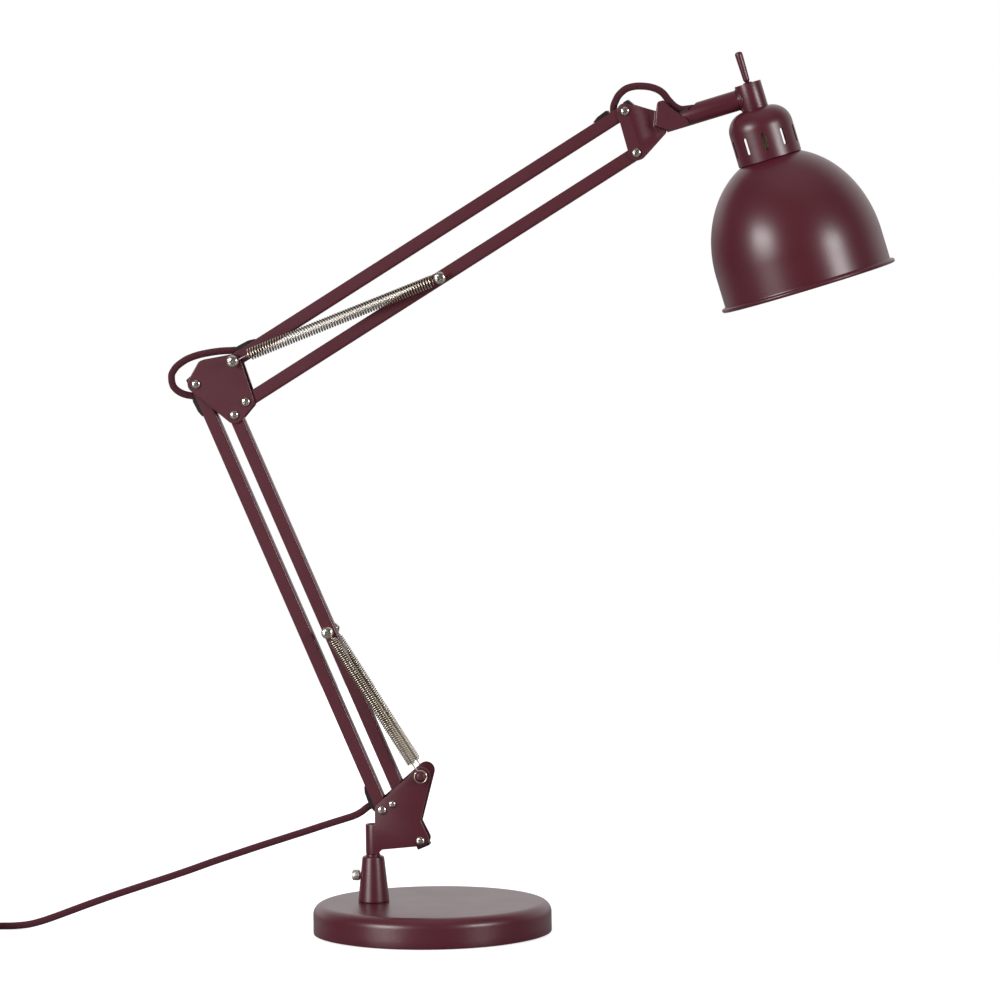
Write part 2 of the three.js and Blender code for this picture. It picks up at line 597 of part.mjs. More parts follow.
const ELBOW_LOOP = inArmPlane([
  [-164, 489.9], [-171.1, 489.6], [-177.6, 488.9], [-183.8, 487.9], [-190.1, 486.6], [-196.1, 484.8],
  [-201.4, 482.6], [-206.1, 479.7], [-209.8, 476.7], [-212.5, 473.2], [-214.1, 470.1], [-214.3, 466.8],
  [-213.9, 463.2], [-212.6, 459.8], [-209.6, 456.6], [-205.6, 454.2], [-201.6, 452.9], [-198.2, 452.3],
]);
const HEAD_LOOP = inArmPlane([
  [161.1, 691.8], [162.6, 695.4], [164.4, 698.8], [166.8, 701.6], [169.9, 704.2], [173.7, 706.0],
  [179.4, 707.1], [185.2, 707.1], [189.9, 706.6], [194.2, 705.5], [198.2, 703.8], [201.7, 701.3],
  [204.1, 698.5], [206.4, 695.4], [210.3, 691.2], [213.6, 688.9], [217.2, 687.6],
]);
const MAINS_LEAD = inArmPlane([
  [-54, 105.6], [-59.2, 101.6], [-65.4, 98.4], [-73.9, 95.6], [-84.1, 92.4], [-94.4, 89.1],
  [-104.6, 85.7],
  [-125.2, 79.1], [-145.7, 72.5], [-166.3, 65.6], [-186.9, 58.6], [-207.5, 51.2], [-228.2, 44.2],
  [-248.9, 37.4], [-269.6, 30.5], [-290.3, 23.2], [-306, 17.4], [-320, 12.2], [-332, 8], [-344, 4.8],
  [-356, 3.4], [-368, 3.05], [-378, 3.05], [-387.4, 3.05],
]);

// The rest of the mains lead, wound up in seven turns beside the lamp.
function cordCoil() {
  const { centre, inner, outer, height } = COIL;
  const shoulder = 0.55 * height;
  const profile = [[inner, 0], [outer, 0], [outer, shoulder], [outer - 3, height], [inner + 3, height],
    [inner, shoulder]];
  piece(lamp, "mains_cord_coil", turned(profile, 28), CLOTH, [...centre, 0]);
}

// A flat two-pin plug that lies across the coil, its tapered strain relief towards +X.
function mainsPlug() {
  const { length, width, thickness, relief, place } = PLUG;
  const pair = (x, y, r, sides) => [lobe([x, y], r, sides), lobe([x, -y], r, sides)];
  const outline = hullOf(
    ...pair(2 - length, width / 2 - 2, 2, 16), ...pair(-9, 4.6, 4, 16), lobe([-3, 0], 4, 16),
  );
  const side = hullOf(
    ...pair(1.5 - length, thickness / 2 - 1.5, 1.5, 12), ...pair(-5, 3.4, 1.5, 12),
    ...pair(-1, 2.6, 1.5, 12),
  );
  const body = common(plate(outline, -thickness / 2, thickness / 2), slab(side, -width, width));
  const sleeve = level(4.6, -2, relief - 2, 16, CORD.radius + 0.8);
  const bore = level(CORD.radius + GAP, 2, relief + 2, 16);
  const tip = PRONG.length;
  const prong = [[0, -1], [PRONG.radius, -1], [PRONG.radius, tip - 1.4], [PRONG.radius - 1, tip], [0, tip]];
  const prongs = [-1, 1].map((hand) =>
    turned(prong, 12).rotateY(-Math.PI / 2).translate(-length, (hand * PRONG.spacing) / 2, 0),
  );
  piece(lamp, "mains_plug", cut(joined(body, sleeve, ...prongs), bore), BLACK, place);
}

// ---- assembly -----------------------------------------------------------------------------------------
baseCover();
baseWeight();
basePad();
postSocket();
socketScrew();
thumbScrew();
postBracket();
jointScrew("screw_lower_rear_foot", LOWER_REAR_FOOT);
jointScrew("screw_lower_front_foot", LOWER_FRONT_FOOT);
jointScrew("stop_screw", STOP_SCREW);

bar("lower_rear", LOWER_REAR_FOOT, LOWER_UP, { clips: [9, 12] });
bar("lower_front", LOWER_FRONT_FOOT, LOWER_UP, { screwAt: [LOWER_SPRING.barDistance], footCap: 8.4 });
bar("upper_top", UPPER_TOP_FOOT, UPPER_OUT, { clips: [8, 12.5] });
bar("upper_bottom", UPPER_BOTTOM_FOOT, UPPER_OUT, { screwAt: [UPPER_SPRING.barDistance] });

elbowPlates();
jointScrew("screw_lower_rear_top", LOWER_REAR_TOP);
jointScrew("screw_lower_front_top", LOWER_FRONT_TOP);
jointScrew("screw_upper_bottom_foot", UPPER_BOTTOM_FOOT);
springScrew("screw_upper_top_foot", UPPER_TOP_FOOT);
springScrew("lower_spring_screw", LOWER_SPRING_BAR_END);
springScrew("upper_spring_screw", UPPER_SPRING_BAR_END);

for (const [word, side] of [["front", -SPRING_SIDE], ["rear", SPRING_SIDE]]) {
  const lower = [`lower_spring_${word}`, `lower_spring_eye_${word}`];
  const upper = [`upper_spring_${word}`, `upper_spring_eye_${word}`];
  spring(lower, LOWER_SPRING_FOOT, LOWER_SPRING_BAR_END, LOWER_SPRING, side, 5.1);
  spring(upper, UPPER_TOP_FOOT, UPPER_SPRING_BAR_END, UPPER_SPRING, side, 4);
}

headBracket();
tubeGrommet();
jointScrew("screw_upper_top_end", UPPER_TOP_END);
jointScrew("screw_upper_bottom_end", UPPER_BOTTOM_END);
collar();
toggleSwitch();
shadeCap();
shade();
lampholder();

piece(lamp, "cord_elbow_loop", tube(ELBOW_LOOP, CORD.radius, 22, 8), CLOTH);
piece(lamp, "cord_head_loop", tube(HEAD_LOOP, CORD.radius, 20, 8), CLOTH);
piece(lamp, "mains_cord", tube(MAINS_LEAD, CORD.radius, 32, 8), CLOTH);
cordCoil();
mainsPlug();

export default lamp;
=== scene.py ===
# %% [markdown]
# # A sprung architect desk lamp
# The lamp has a weighted round base, a post that turns in a cone, two arms that are each a pair of
# parallel channels, two pairs of balance springs and a bell shade under a vented cap. Its working parts
# come from the CAD frame. Here every surface gets its finish, and every round or bent piece gets a finer
# mesh than the frame needs.

# %% Load the frame
import json
import math

import bmesh
import bpy
from mathutils import Matrix, Vector

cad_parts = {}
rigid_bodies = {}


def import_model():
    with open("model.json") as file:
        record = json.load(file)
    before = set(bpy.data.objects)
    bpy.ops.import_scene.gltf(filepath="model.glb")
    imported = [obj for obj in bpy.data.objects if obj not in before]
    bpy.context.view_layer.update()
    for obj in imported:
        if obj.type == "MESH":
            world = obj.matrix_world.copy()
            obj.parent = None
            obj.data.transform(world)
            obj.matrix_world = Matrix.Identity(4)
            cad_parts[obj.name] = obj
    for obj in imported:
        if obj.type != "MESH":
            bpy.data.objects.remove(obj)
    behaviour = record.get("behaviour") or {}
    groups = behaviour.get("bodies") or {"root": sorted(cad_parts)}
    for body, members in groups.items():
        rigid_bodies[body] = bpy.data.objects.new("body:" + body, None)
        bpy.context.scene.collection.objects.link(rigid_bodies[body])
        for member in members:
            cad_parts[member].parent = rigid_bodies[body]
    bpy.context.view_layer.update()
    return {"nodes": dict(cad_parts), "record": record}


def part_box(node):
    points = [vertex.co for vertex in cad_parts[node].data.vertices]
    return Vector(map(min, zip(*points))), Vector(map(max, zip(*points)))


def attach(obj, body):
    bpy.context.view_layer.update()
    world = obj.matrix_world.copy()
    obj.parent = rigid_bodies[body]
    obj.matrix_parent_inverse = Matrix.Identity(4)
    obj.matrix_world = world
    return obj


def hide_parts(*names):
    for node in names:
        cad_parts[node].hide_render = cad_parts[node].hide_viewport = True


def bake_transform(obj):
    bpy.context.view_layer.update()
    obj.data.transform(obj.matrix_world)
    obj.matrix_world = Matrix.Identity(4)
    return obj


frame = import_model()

MM = 0.001
scene = bpy.context.scene


def new_object(name, data):
    """An object in the scene: a piece, a lamp, the camera, or one that only holds a mesh for a moment."""
    made = bpy.data.objects.new(name, data)
    scene.collection.objects.link(made)
    return made


# %% [markdown]
# The arms are two parallelograms, so a few pivots place almost everything. They are read from the
# joints of the frame. The arm plane is y = 0, and a local frame in it has +X along a part and +Z to the
# left of it.

# %% Pivots and local frames
JOINTS = {joint["name"]: joint for joint in frame["record"]["behaviour"]["joints"]}


def pivot(name):
    return Vector(JOINTS[name]["pos_m"])


def middle(node):
    low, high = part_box(node)
    return (Vector(low) + Vector(high)) / 2


def local_frame(origin, direction):
    """A matrix whose +X runs along direction in the arm plane and whose +Z is to the left of it."""
    x = Vector(direction).normalized()
    y = Vector((0, 1, 0))
    z = x.cross(y)
    return Matrix.Translation(origin) @ Matrix((x, y, z)).transposed().to_4x4()


lower_rear_foot = pivot("lower_swing")
lower_front_foot = pivot("lower_front_follow")
lower_rear_top = pivot("elbow_level")
upper_top_foot = pivot("upper_swing")
upper_bottom_foot = pivot("upper_bottom_follow")
upper_top_end = pivot("head_level")
head_centre = pivot("head_roll")
lower_spring_foot = pivot("lower_spring_swing")
post_axis = pivot("post_swivel")

bar_length = (lower_rear_top - lower_rear_foot).length
lower_up = (lower_rear_top - lower_rear_foot).normalized()
upper_out = (upper_top_end - upper_top_foot).normalized()
lower_front_top = lower_front_foot + lower_up * bar_length
upper_bottom_end = upper_bottom_foot + upper_out * bar_length
HEAD = local_frame(head_centre, JOINTS["head_roll"]["axis"])
print(f"bars {bar_length / MM:.1f} mm between pivots, head at {tuple(round(v, 4) for v in head_centre)}")

# %% [markdown]
# ## Camera
# A long lens, far away, keeps the bars parallel to the eye. It looks a little down on the base and from
# a few degrees to the right, so that the rear pieces show beside the front ones.

# %% Camera
AZIMUTH, ELEVATION, ROLL = math.radians(7.5), math.radians(4.9), math.radians(0.75)
CAMERA_DISTANCE, LENS, SENSOR_WIDTH, FAR_CLIP = 5.5, 237.6, 36, 100
LOOK_AT = Vector((0.06156, 0.00108, 0.36398))

away = Vector((
    math.sin(AZIMUTH) * math.cos(ELEVATION),
    -math.cos(AZIMUTH) * math.cos(ELEVATION),
    math.sin(ELEVATION),
))
level_right = Vector((math.cos(AZIMUTH), math.sin(AZIMUTH), 0))
level_up = away.cross(level_right)
camera_right = level_right * math.cos(ROLL) - level_up * math.sin(ROLL)
camera_up = level_up * math.cos(ROLL) + level_right * math.sin(ROLL)

camera = new_object("camera", bpy.data.cameras.new("camera"))
camera.data.sensor_width, camera.data.lens, camera.data.clip_end = SENSOR_WIDTH, LENS, FAR_CLIP
turned_camera = Matrix((camera_right, camera_up, away)).transposed().to_4x4()
camera.matrix_world = Matrix.Translation(LOOK_AT + away * CAMERA_DISTANCE) @ turned_camera
scene.camera = camera
print("camera stands", CAMERA_DISTANCE, "m away")

# %% [markdown]
# ## Shader groups
# Powder coat and moulded plastic have a fine grain, plated metal has faint cloudy patches, and the
# cord's sleeve is a braid of two families of yarns. Each group has its own numbers as inputs, and it
# gives out only values and heights, so that the shader itself stays in the material.

# %% Helpers for node trees
def feed(tree, node, inputs):
    """Sets inputs of a node, each from a plain value or from an output socket."""
    for label, value in dict(inputs).items():
        if isinstance(value, bpy.types.NodeSocket):
            tree.links.new(value, node.inputs[label])
        else:
            node.inputs[label].default_value = value
    return node


def add_node(tree, kind, inputs=(), **settings):
    node = tree.nodes.new(kind)
    for key, value in settings.items():
        setattr(node, key, value)
    return feed(tree, node, inputs)


def maths(tree, operation, *values):
    """The result of a Math node, with each value a plain number or an output socket."""
    return add_node(tree, "ShaderNodeMath", enumerate(values), operation=operation).outputs[0]


def split_vector(tree, vector):
    return add_node(tree, "ShaderNodeSeparateXYZ", {"Vector": vector}).outputs


def ramp(tree, value, from_low, from_high, to_low=0.0, to_high=1.0):
    """A value that eases from one level to another between two limits."""
    return add_node(tree, "ShaderNodeMapRange", {
        "Value": value, "From Min": from_low, "From Max": from_high, "To Min": to_low, "To Max": to_high,
    }, interpolation_type="SMOOTHSTEP").outputs["Result"]


def blend_colours(tree, factor, first, second):
    mix = add_node(tree, "ShaderNodeMix", {"Factor": factor, "A": first, "B": second}, data_type="RGBA")
    return mix.outputs["Result"]


def relief(tree, height, distance):
    return add_node(tree, "ShaderNodeBump", {"Height": height, "Distance": distance}).outputs["Normal"]


def group_tree(kind, name, inputs, outputs, output_kind):
    """A node group, its input node and its output node. An input is a label, a socket kind and a default."""
    group = bpy.data.node_groups.new(name, kind)
    for label, socket_kind, value in inputs:
        socket = group.interface.new_socket(label, in_out="INPUT", socket_type=f"NodeSocket{socket_kind}")
        if value is not None:
            socket.default_value = value
    for label in outputs:
        group.interface.new_socket(label, in_out="OUTPUT", socket_type=f"NodeSocket{output_kind}")
    return group, group.nodes.new("NodeGroupInput").outputs, group.nodes.new("NodeGroupOutput")


# %% Fine grain and cloudy patches
def make_grain_group():
    sockets = [("Position", "Vector", None), ("Grain Size", "Float", 0.0006), ("Patch Size", "Float", 0.02)]
    group, ins, outs = group_tree("ShaderNodeTree", "fine_grain", sockets, ["Grain", "Patches"], "Float")
    for size, detail, output in (("Grain Size", 3, "Grain"), ("Patch Size", 2, "Patches")):
        scale = maths(group, "DIVIDE", 1.0, ins[size])
        noise = add_node(group, "ShaderNodeTexNoise", {
            "Vector": ins["Position"], "Scale": scale, "Detail": detail,
        })
        feed(group, outs, {output: noise.outputs["Fac"]})
    return group


GRAIN = make_grain_group()


# %% Braided sleeve
def make_braid_group():
    """Two families of yarns that cross: UV.x runs along the cord in metres, UV.y once round it."""
    sockets = [("Along", "Vector", None), ("Yarns", "Float", 12.0), ("Pitch", "Float", 0.011)]
    group, ins, outs = group_tree("ShaderNodeTree", "braid", sockets, ["Height"], "Float")
    place = split_vector(group, ins["Along"])
    steps = maths(group, "DIVIDE", place["X"], ins["Pitch"])

    def wave(turns):
        yarns = maths(group, "MULTIPLY", turns, ins["Yarns"])
        return maths(group, "SINE", maths(group, "MULTIPLY", yarns, 2 * math.pi))

    phases = (maths(group, "MULTIPLY_ADD", steps, sign, place["Y"]) for sign in (1.0, -1.0))
    one_way, other_way = (maths(group, "ABSOLUTE", wave(phase)) for phase in phases)
    lifted = maths(group, "MULTIPLY_ADD", wave(steps), 0.25, other_way)
    feed(group, outs, {"Height": maths(group, "SMOOTH_MAX", one_way, lifted, 0.15)})
    return group


BRAID = make_braid_group()
print("shader groups:", [g.name for g in (GRAIN, BRAID)])

# %% [markdown]
# ## Finishes
# The metalwork is powder coated in a dark burgundy with a satin gloss: it mirrors the bright room softly
# and goes pale where it is seen at a low angle. Screws and nuts are bright nickel, the clamp screw is
# duller zinc, and the wire of the springs has painted shade on the inner side of its coils. The plugs and
# clips are black plastic, and the cord has a burgundy textile sleeve with painted shade between its yarns.

# %% Finishes
ROUGH_SPREAD = 0.06


def new_material(name, constants):
    """A material, its node tree and its shader, with the shader's constant inputs."""
    material = bpy.data.materials.new(name)
    material.use_nodes = True
    tree = material.node_tree
    return material, tree, feed(tree, tree.nodes["Principled BSDF"], constants)


def finish(name, colour, roughness, metallic=0.0, specular=0.5, grain=0.0006, patch=0.03, tint=0.06,
           bump=0.0):
    """A painted, plated or moulded finish. colour is linear, and tint varies it over the surface."""
    material, tree, shader = new_material(name, {"Metallic": metallic, "Specular IOR Level": specular})
    place = add_node(tree, "ShaderNodeTexCoord").outputs["Object"]
    sizes = {"Position": place, "Grain Size": grain, "Patch Size": patch}
    texture = add_node(tree, "ShaderNodeGroup", sizes, node_tree=GRAIN).outputs
    patches = maths(tree, "MULTIPLY", texture["Patches"], 0.5)
    both = maths(tree, "MULTIPLY_ADD", texture["Grain"], 0.5, patches)
    darker, lighter = ((*[min(1, c * (1 + change)) for c in colour], 1) for change in (-tint, tint))
    feed(tree, shader, {
        "Base Color": blend_colours(tree, both, darker, lighter),
        "Roughness": maths(tree, "MULTIPLY_ADD", both, 2 * ROUGH_SPREAD, roughness - ROUGH_SPREAD),
    })
    if bump:
        feed(tree, shader, {"Normal": relief(tree, texture["Grain"], bump)})
    return material


PLATED = {"metallic": 1.0, "grain": 0.0003, "patch": 0.006, "bump": 0.000002}
paint = finish("satin_burgundy", (0.0605, 0.0056, 0.0124), 0.335, specular=0.55, bump=0.000006)
nickel = finish("bright_nickel", (0.72, 0.66, 0.59), 0.23, **PLATED)
zinc = finish("bright_zinc", (0.72, 0.69, 0.65), 0.38, **PLATED)
black_plastic = finish("black_plastic", (0.006, 0.006, 0.0065), 0.45, specular=0.3, grain=0.0004,
                       bump=0.000008)
rubber = finish("black_rubber", (0.015, 0.015, 0.016), 0.75, grain=0.0005, bump=0.00001)
cast_iron = finish("cast_iron", (0.07, 0.072, 0.076), 0.7, metallic=0.7, grain=0.0012, tint=0.25,
                   bump=0.00006)
holder_plastic = finish("lampholder_plastic", (0.5, 0.4, 0.24), 0.4, grain=0.0005, bump=0.00001)
thread_brass = finish("plated_thread", (0.55, 0.5, 0.42), 0.3, metallic=1.0)


# %% The textile sleeve and the coiled wire
def textile():
    material, tree, shader = new_material("textile_sleeve", {
        "Roughness": 0.85, "Specular IOR Level": 0.25, "Sheen Weight": 0.05, "Sheen Roughness": 0.4,
    })
    along = add_node(tree, "ShaderNodeUVMap").outputs["UV"]
    height = add_node(tree, "ShaderNodeGroup", {"Along": along}, node_tree=BRAID).outputs["Height"]
    # The braid's valleys take the darker colour, which is painted shade between the yarns; the crests keep
    # the yarns' burgundy.
    feed(tree, shader, {
        "Base Color": blend_colours(tree, height, (0.016, 0.0032, 0.0055, 1), (0.072, 0.0105, 0.019, 1)),
        "Normal": relief(tree, height, 0.0003),
    })
    return material


def coiled_wire():
    """Bright wire with painted shade on the inner side of its coils. U runs from 0 inside to 1 outside."""
    material = finish("spring_nickel", (0.64, 0.55, 0.45), 0.3, metallic=1.0, grain=0.0002, patch=0.01)
    tree = material.node_tree
    colour = tree.nodes["Principled BSDF"].inputs["Base Color"]
    round_wire = split_vector(tree, add_node(tree, "ShaderNodeUVMap").outputs["UV"])
    unshaded_side = ramp(tree, round_wire["X"], 0.35, 0.9)
    # The dark colour is painted shade on the inner side of the coils, where the gaps between turns fall dark.
    tree.links.new(blend_colours(tree, unshaded_side, (0.03, 0.025, 0.02, 1), colour.links[0].from_socket), colour)
    return material


sleeve = textile()
spring_steel = coiled_wire()
print("finishes:", [m.name for m in bpy.data.materials])

FINISH_OF_SLOT = {
    "paint": paint, "shade_paint": paint, "cast_iron": cast_iron, "nickel": nickel,
    "spring_steel": spring_steel, "black_plastic": black_plastic, "rubber": rubber,
    "plug_plastic": black_plastic, "cord_textile": sleeve, "lampholder_plastic": holder_plastic,
}
SLOT_OF = {part["node"]: part["material_slot"] for part in frame["record"]["subparts"]}
for name, node in frame["nodes"].items():
    node.data.materials.clear()
    node.data.materials.append(FINISH_OF_SLOT[SLOT_OF[name]])

# %% [markdown]
# ## Making pieces
# Most pieces are made by three operations: an outline is turned round an axis, pushed out into a plate,
# or a circle is swept along a route. Corners are rounded a little, because a sharp edge never catches
# the light.

# %% Turning, sweeping and rounding
def add_piece(name, mesh, body, slot, *nodes, material=None):
    """Makes the object, attaches it to its body and hides the nodes it replaces. A piece that bridges two
    bodies gets none.

    The finish is the slot's own, unless a material is given.
    """
    piece = new_object(name, mesh)
    mesh.materials.clear()
    mesh.materials.append(material or FINISH_OF_SLOT[slot])
    if body:
        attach(piece, body)
    if nodes:
        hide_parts(*nodes)
    return piece


def mesh_from(bm, name, sharp=40, clean=True):
    """The smooth mesh of some faces. Edges over the sharp angle stay sharp."""
    if clean:
        bmesh.ops.remove_doubles(bm, verts=bm.verts, dist=1e-7)
        bmesh.ops.recalc_face_normals(bm, faces=bm.faces)
    mesh = bpy.data.meshes.new(name)
    bm.to_mesh(mesh)
    bm.free()
    for face in mesh.polygons:
        face.use_smooth = True
    mesh.set_sharp_from_angle(angle=math.radians(sharp))
    return mesh


def joined_mesh(name, *meshes, sharp=35):
    """Several meshes as one, without cutting them where they meet."""
    bm = bmesh.new()
    for mesh in meshes:
        bm.from_mesh(mesh)
    return mesh_from(bm, name, sharp, clean=False)


def rounded(points, radius, steps=4, closed=False):
    """A chain of 2-D points with each corner turned into an arc. radius may be one value or one per point."""
    count = len(points)
    radii = radius if isinstance(radius, (list, tuple)) else [radius] * count
    out = []
    for i, point in enumerate(points):
        p = Vector(point)
        if radii[i] == 0 or (not closed and i in (0, count - 1)):
            out.append(p)
            continue
        a, b = Vector(points[i - 1]) - p, Vector(points[(i + 1) % count]) - p
        angle = a.angle(b)
        if angle > math.radians(176):
            out.append(p)
            continue
        reach = min(radii[i] / math.tan(angle / 2), 0.48 * a.length, 0.48 * b.length)
        r = reach * math.tan(angle / 2)
        start, end = p + a.normalized() * reach, p + b.normalized() * reach
        centre = p + (a.normalized() + b.normalized()).normalized() * (r / math.sin(angle / 2))
        from_centre, to_centre = start - centre, end - centre
        swing = from_centre.angle_signed(to_centre)
        for k in range(steps + 1):
            out.append(centre + Matrix.Rotation(-swing * k / steps, 2) @ from_centre)
    return [tuple(p) for p in out]


def arc(centre, radius_r, radius_z, start, end, steps):
    """Points of part of an ellipse, angles in degrees."""
    angles = (math.radians(start + (end - start) * k / steps) for k in range(steps + 1))
    return [(centre[0] + radius_r * math.cos(a), centre[1] + radius_z * math.sin(a)) for a in angles]


def circle(centre, radius, steps=56):
    angles = (2 * math.pi * k / steps for k in range(steps))
    return [(centre[0] + radius * math.cos(a), centre[1] + radius * math.sin(a)) for a in angles]


def turned_mesh(name, profile, matrix, segments=48, closed=False, sharp=40):
    """A profile of radius, height turned round the local Z axis. closed joins its end to its start."""
    bm = bmesh.new()
    rings = []
    for r, z in profile:
        ring = circle((0, 0), r, segments) if r else [(0, 0)]
        rings.append([bm.verts.new(matrix @ Vector((x, y, z))) for x, y in ring])
    pairs = list(zip(rings, rings[1:]))
    if closed:
        pairs.append((rings[-1], rings[0]))
    for low, high in pairs:
        for k in range(segments):
            m = (k + 1) % segments
            corners = [low[k % len(low)], low[m % len(low)], high[m % len(high)], high[k % len(high)]]
            unique = list(dict.fromkeys(corners))
            if len(unique) > 2:
                bm.faces.new(unique)
    return mesh_from(bm, name, sharp)


def lofted_mesh(name, rings, sharp=40):
    """A closed solid through rings of points of equal count, flat at both ends."""
    bm = bmesh.new()
    rings = [[bm.verts.new(point) for point in ring] for ring in rings]
    count = len(rings[0])
    for low, high in zip(rings, rings[1:]):
        for k in range(count):
            m = (k + 1) % count
            bm.faces.new((low[k], low[m], high[m], high[k]))
    bm.faces.new(rings[0])
    bm.faces.new(rings[-1][::-1])
    return mesh_from(bm, name, sharp)


def prism_mesh(name, outline, matrix, low, high, sharp=40):
    """A closed outline in the local XZ plane, pushed out from y = low to y = high."""
    return lofted_mesh(name, [[matrix @ Vector((x, y, z)) for x, z in outline] for y in (low, high)], sharp)


def evaluated(holder, *helpers):
    """The plain mesh that an object's modifiers make. The object and its helpers are removed."""
    graph = bpy.context.evaluated_depsgraph_get()
    graph.update()
    mesh = bpy.data.meshes.new_from_object(holder.evaluated_get(graph), depsgraph=graph)
    holder.modifiers.clear()
    for used in (holder, *helpers):
        bpy.data.objects.remove(used)
    return mesh


def bevelled(mesh, round_mm, segments=3, angle=50):
    """A copy of a mesh with its sharp edges rounded."""
    holder = new_object("holder", mesh)
    bevel = holder.modifiers.new("rounding", "BEVEL")
    bevel.width, bevel.segments = round_mm * MM, segments
    bevel.limit_method, bevel.angle_limit = "ANGLE", math.radians(angle)
    flatten = holder.modifiers.new("flatten", "WEIGHTED_NORMAL")
    flatten.weight, flatten.keep_sharp = 100, True
    return evaluated(holder)


def boolean(mesh, operation, *others):
    """Joins or cuts closed meshes and returns one plain mesh."""
    first, *helpers = [new_object("holder", each) for each in (mesh, *others)]
    for helper in helpers:
        step = first.modifiers.new("step", "BOOLEAN")
        step.operation, step.solver, step.object = operation, "EXACT", helper
    return evaluated(first, *helpers)


def smooth_route(points, spacing, fineness=24):
    """Even steps along a smooth curve through the points."""
    knots = [Vector(p) for p in points]
    knots = [2 * knots[0] - knots[1]] + knots + [2 * knots[-1] - knots[-2]]
    fine = []
    for p0, p1, p2, p3 in zip(knots, knots[1:], knots[2:], knots[3:]):
        for k in range(fineness):
            t = k / fineness
            fine.append(0.5 * (
                2 * p1 + (p2 - p0) * t + (2 * p0 - 5 * p1 + 4 * p2 - p3) * t * t
                + (3 * p1 - p0 - 3 * p2 + p3) * t ** 3
            ))
    fine.append(knots[-2])
    total = sum((b - a).length for a, b in zip(fine, fine[1:]))
    count = max(2, round(total / spacing))
    out, walked, want = [fine[0]], 0.0, total / count
    for a, b in zip(fine, fine[1:]):
        step = (b - a).length
        while walked + step >= want - 1e-9 and len(out) < count:
            out.append(a.lerp(b, (want - walked) / step))
            want += total / count
        walked += step
    out.append(fine[-1])
    return out


def swept_mesh(name, route, radius, sides=16):
    """A closed tube along a route, with UVs: x is metres along it, y goes once round."""
    bm = bmesh.new()
    layer = bm.loops.layers.uv.verify()
    tangent = (route[1] - route[0]).normalized()
    across = Vector((0, 1, 0)) if abs(tangent.y) < 0.9 else Vector((1, 0, 0))
    across = (across - tangent * across.dot(tangent)).normalized()
    rings, lengths = [], []
    for i, point in enumerate(route):
        tangent = (route[min(i + 1, len(route) - 1)] - route[max(i - 1, 0)]).normalized()
        across = (across - tangent * across.dot(tangent)).normalized()
        other = tangent.cross(across)
        lengths.append(lengths[-1] + (point - route[i - 1]).length if i else 0.0)
        rings.append([bm.verts.new(point + (across * x + other * y) * radius)
                      for x, y in circle((0, 0), 1, sides)])
    for i in range(len(rings) - 1):
        for k in range(sides):
            m = (k + 1) % sides
            face = bm.faces.new((rings[i][k], rings[i][m], rings[i + 1][m], rings[i + 1][k]))
            corners = ((i, k), (i, k + 1), (i + 1, k + 1), (i + 1, k))
            for loop, (row, column) in zip(face.loops, corners):
                loop[layer].uv = (lengths[row], column / sides)
    bm.faces.new(list(reversed(rings[0])))
    bm.faces.new(rings[-1])
    return mesh_from(bm, name, 60)


# %% [markdown]
# ## The cord
# The mains lead is a 6 mm textile cord about 1.86 m long. It leaves the foot of the lower arm, comes
# down in a nearly straight line, lies on the table and is wound up in seven turns beside the lamp, with
# its plug on top. The first few centimetres, by the arm, are a piece of their own.
# Two short loops carry the cord round the elbow and over to the head.

# %% Cord routes
CORD_RADIUS, CORD_STEP = 3 * MM, 1.2 * MM


def in_arm_plane(*pairs):
    return [Vector((x * MM, 0, z * MM)) for x, z in pairs]


ELBOW_LOOP = in_arm_plane(
    (-150, 489.4), (-154.6, 489.9), (-159.3, 490.1),
    (-164, 489.9), (-171.1, 489.6), (-177.6, 488.9), (-183.8, 487.9), (-190.1, 486.6), (-196.1, 484.8),
    (-201.4, 482.6), (-206.1, 479.7), (-209.8, 476.7), (-212.5, 473.2), (-214.1, 470.1), (-214.3, 466.8),
    (-213.9, 463.2), (-212.6, 459.8), (-209.6, 456.6), (-205.6, 454.2), (-201.6, 452.9), (-198.2, 452.3),
    (-194.4, 451.5), (-190.8, 450.2),
)
HEAD_LOOP = in_arm_plane(
    (162.2, 680.4), (161.0, 684.2), (160.6, 688.0),
    (161.1, 691.8), (162.6, 695.4), (164.4, 698.8), (166.8, 701.6), (169.9, 704.2), (173.7, 706.0),
    (179.4, 707.1), (185.2, 707.1), (189.9, 706.6), (194.2, 705.5), (198.2, 703.8), (201.7, 701.3),
    (204.1, 698.5), (206.4, 695.4), (210.3, 691.2), (213.6, 688.9), (217.2, 687.6),
    (222.5, 688.0), (227.5, 688.6),
)
OUT_OF_BAR = [local_frame(lower_rear_foot, lower_up) @ Vector((along * MM, 0, out * MM))
              for along, out in ((8.4, 0.5), (7.4, 5.6))]
MAINS_LEAD = OUT_OF_BAR + in_arm_plane(
    (-54, 105.6), (-59.2, 101.6), (-65.4, 98.4), (-73.9, 95.6), (-84.1, 92.4), (-94.4, 89.1), (-104.6, 85.7),
    (-125.2, 79.1), (-145.7, 72.5), (-166.3, 65.6), (-186.9, 58.6), (-207.5, 51.2), (-228.2, 44.2),
    (-248.9, 37.4), (-269.6, 30.5), (-290.3, 23.2), (-306, 17.4), (-320, 12.2), (-332, 8), (-344, 4.8),
    (-356, 3.4), (-368, 3.05), (-378, 3.05), (-387.4, 3.05),
)

FLOOR_TURNS, UPPER_TURNS = [43, 37, 31, 25], [28, 34, 40]
ON_TABLE, ON_TURNS, PLUG_HEIGHT = 3.05, 8.2, 18.4
STEP_FROM, COIL_STEP = 270, 15


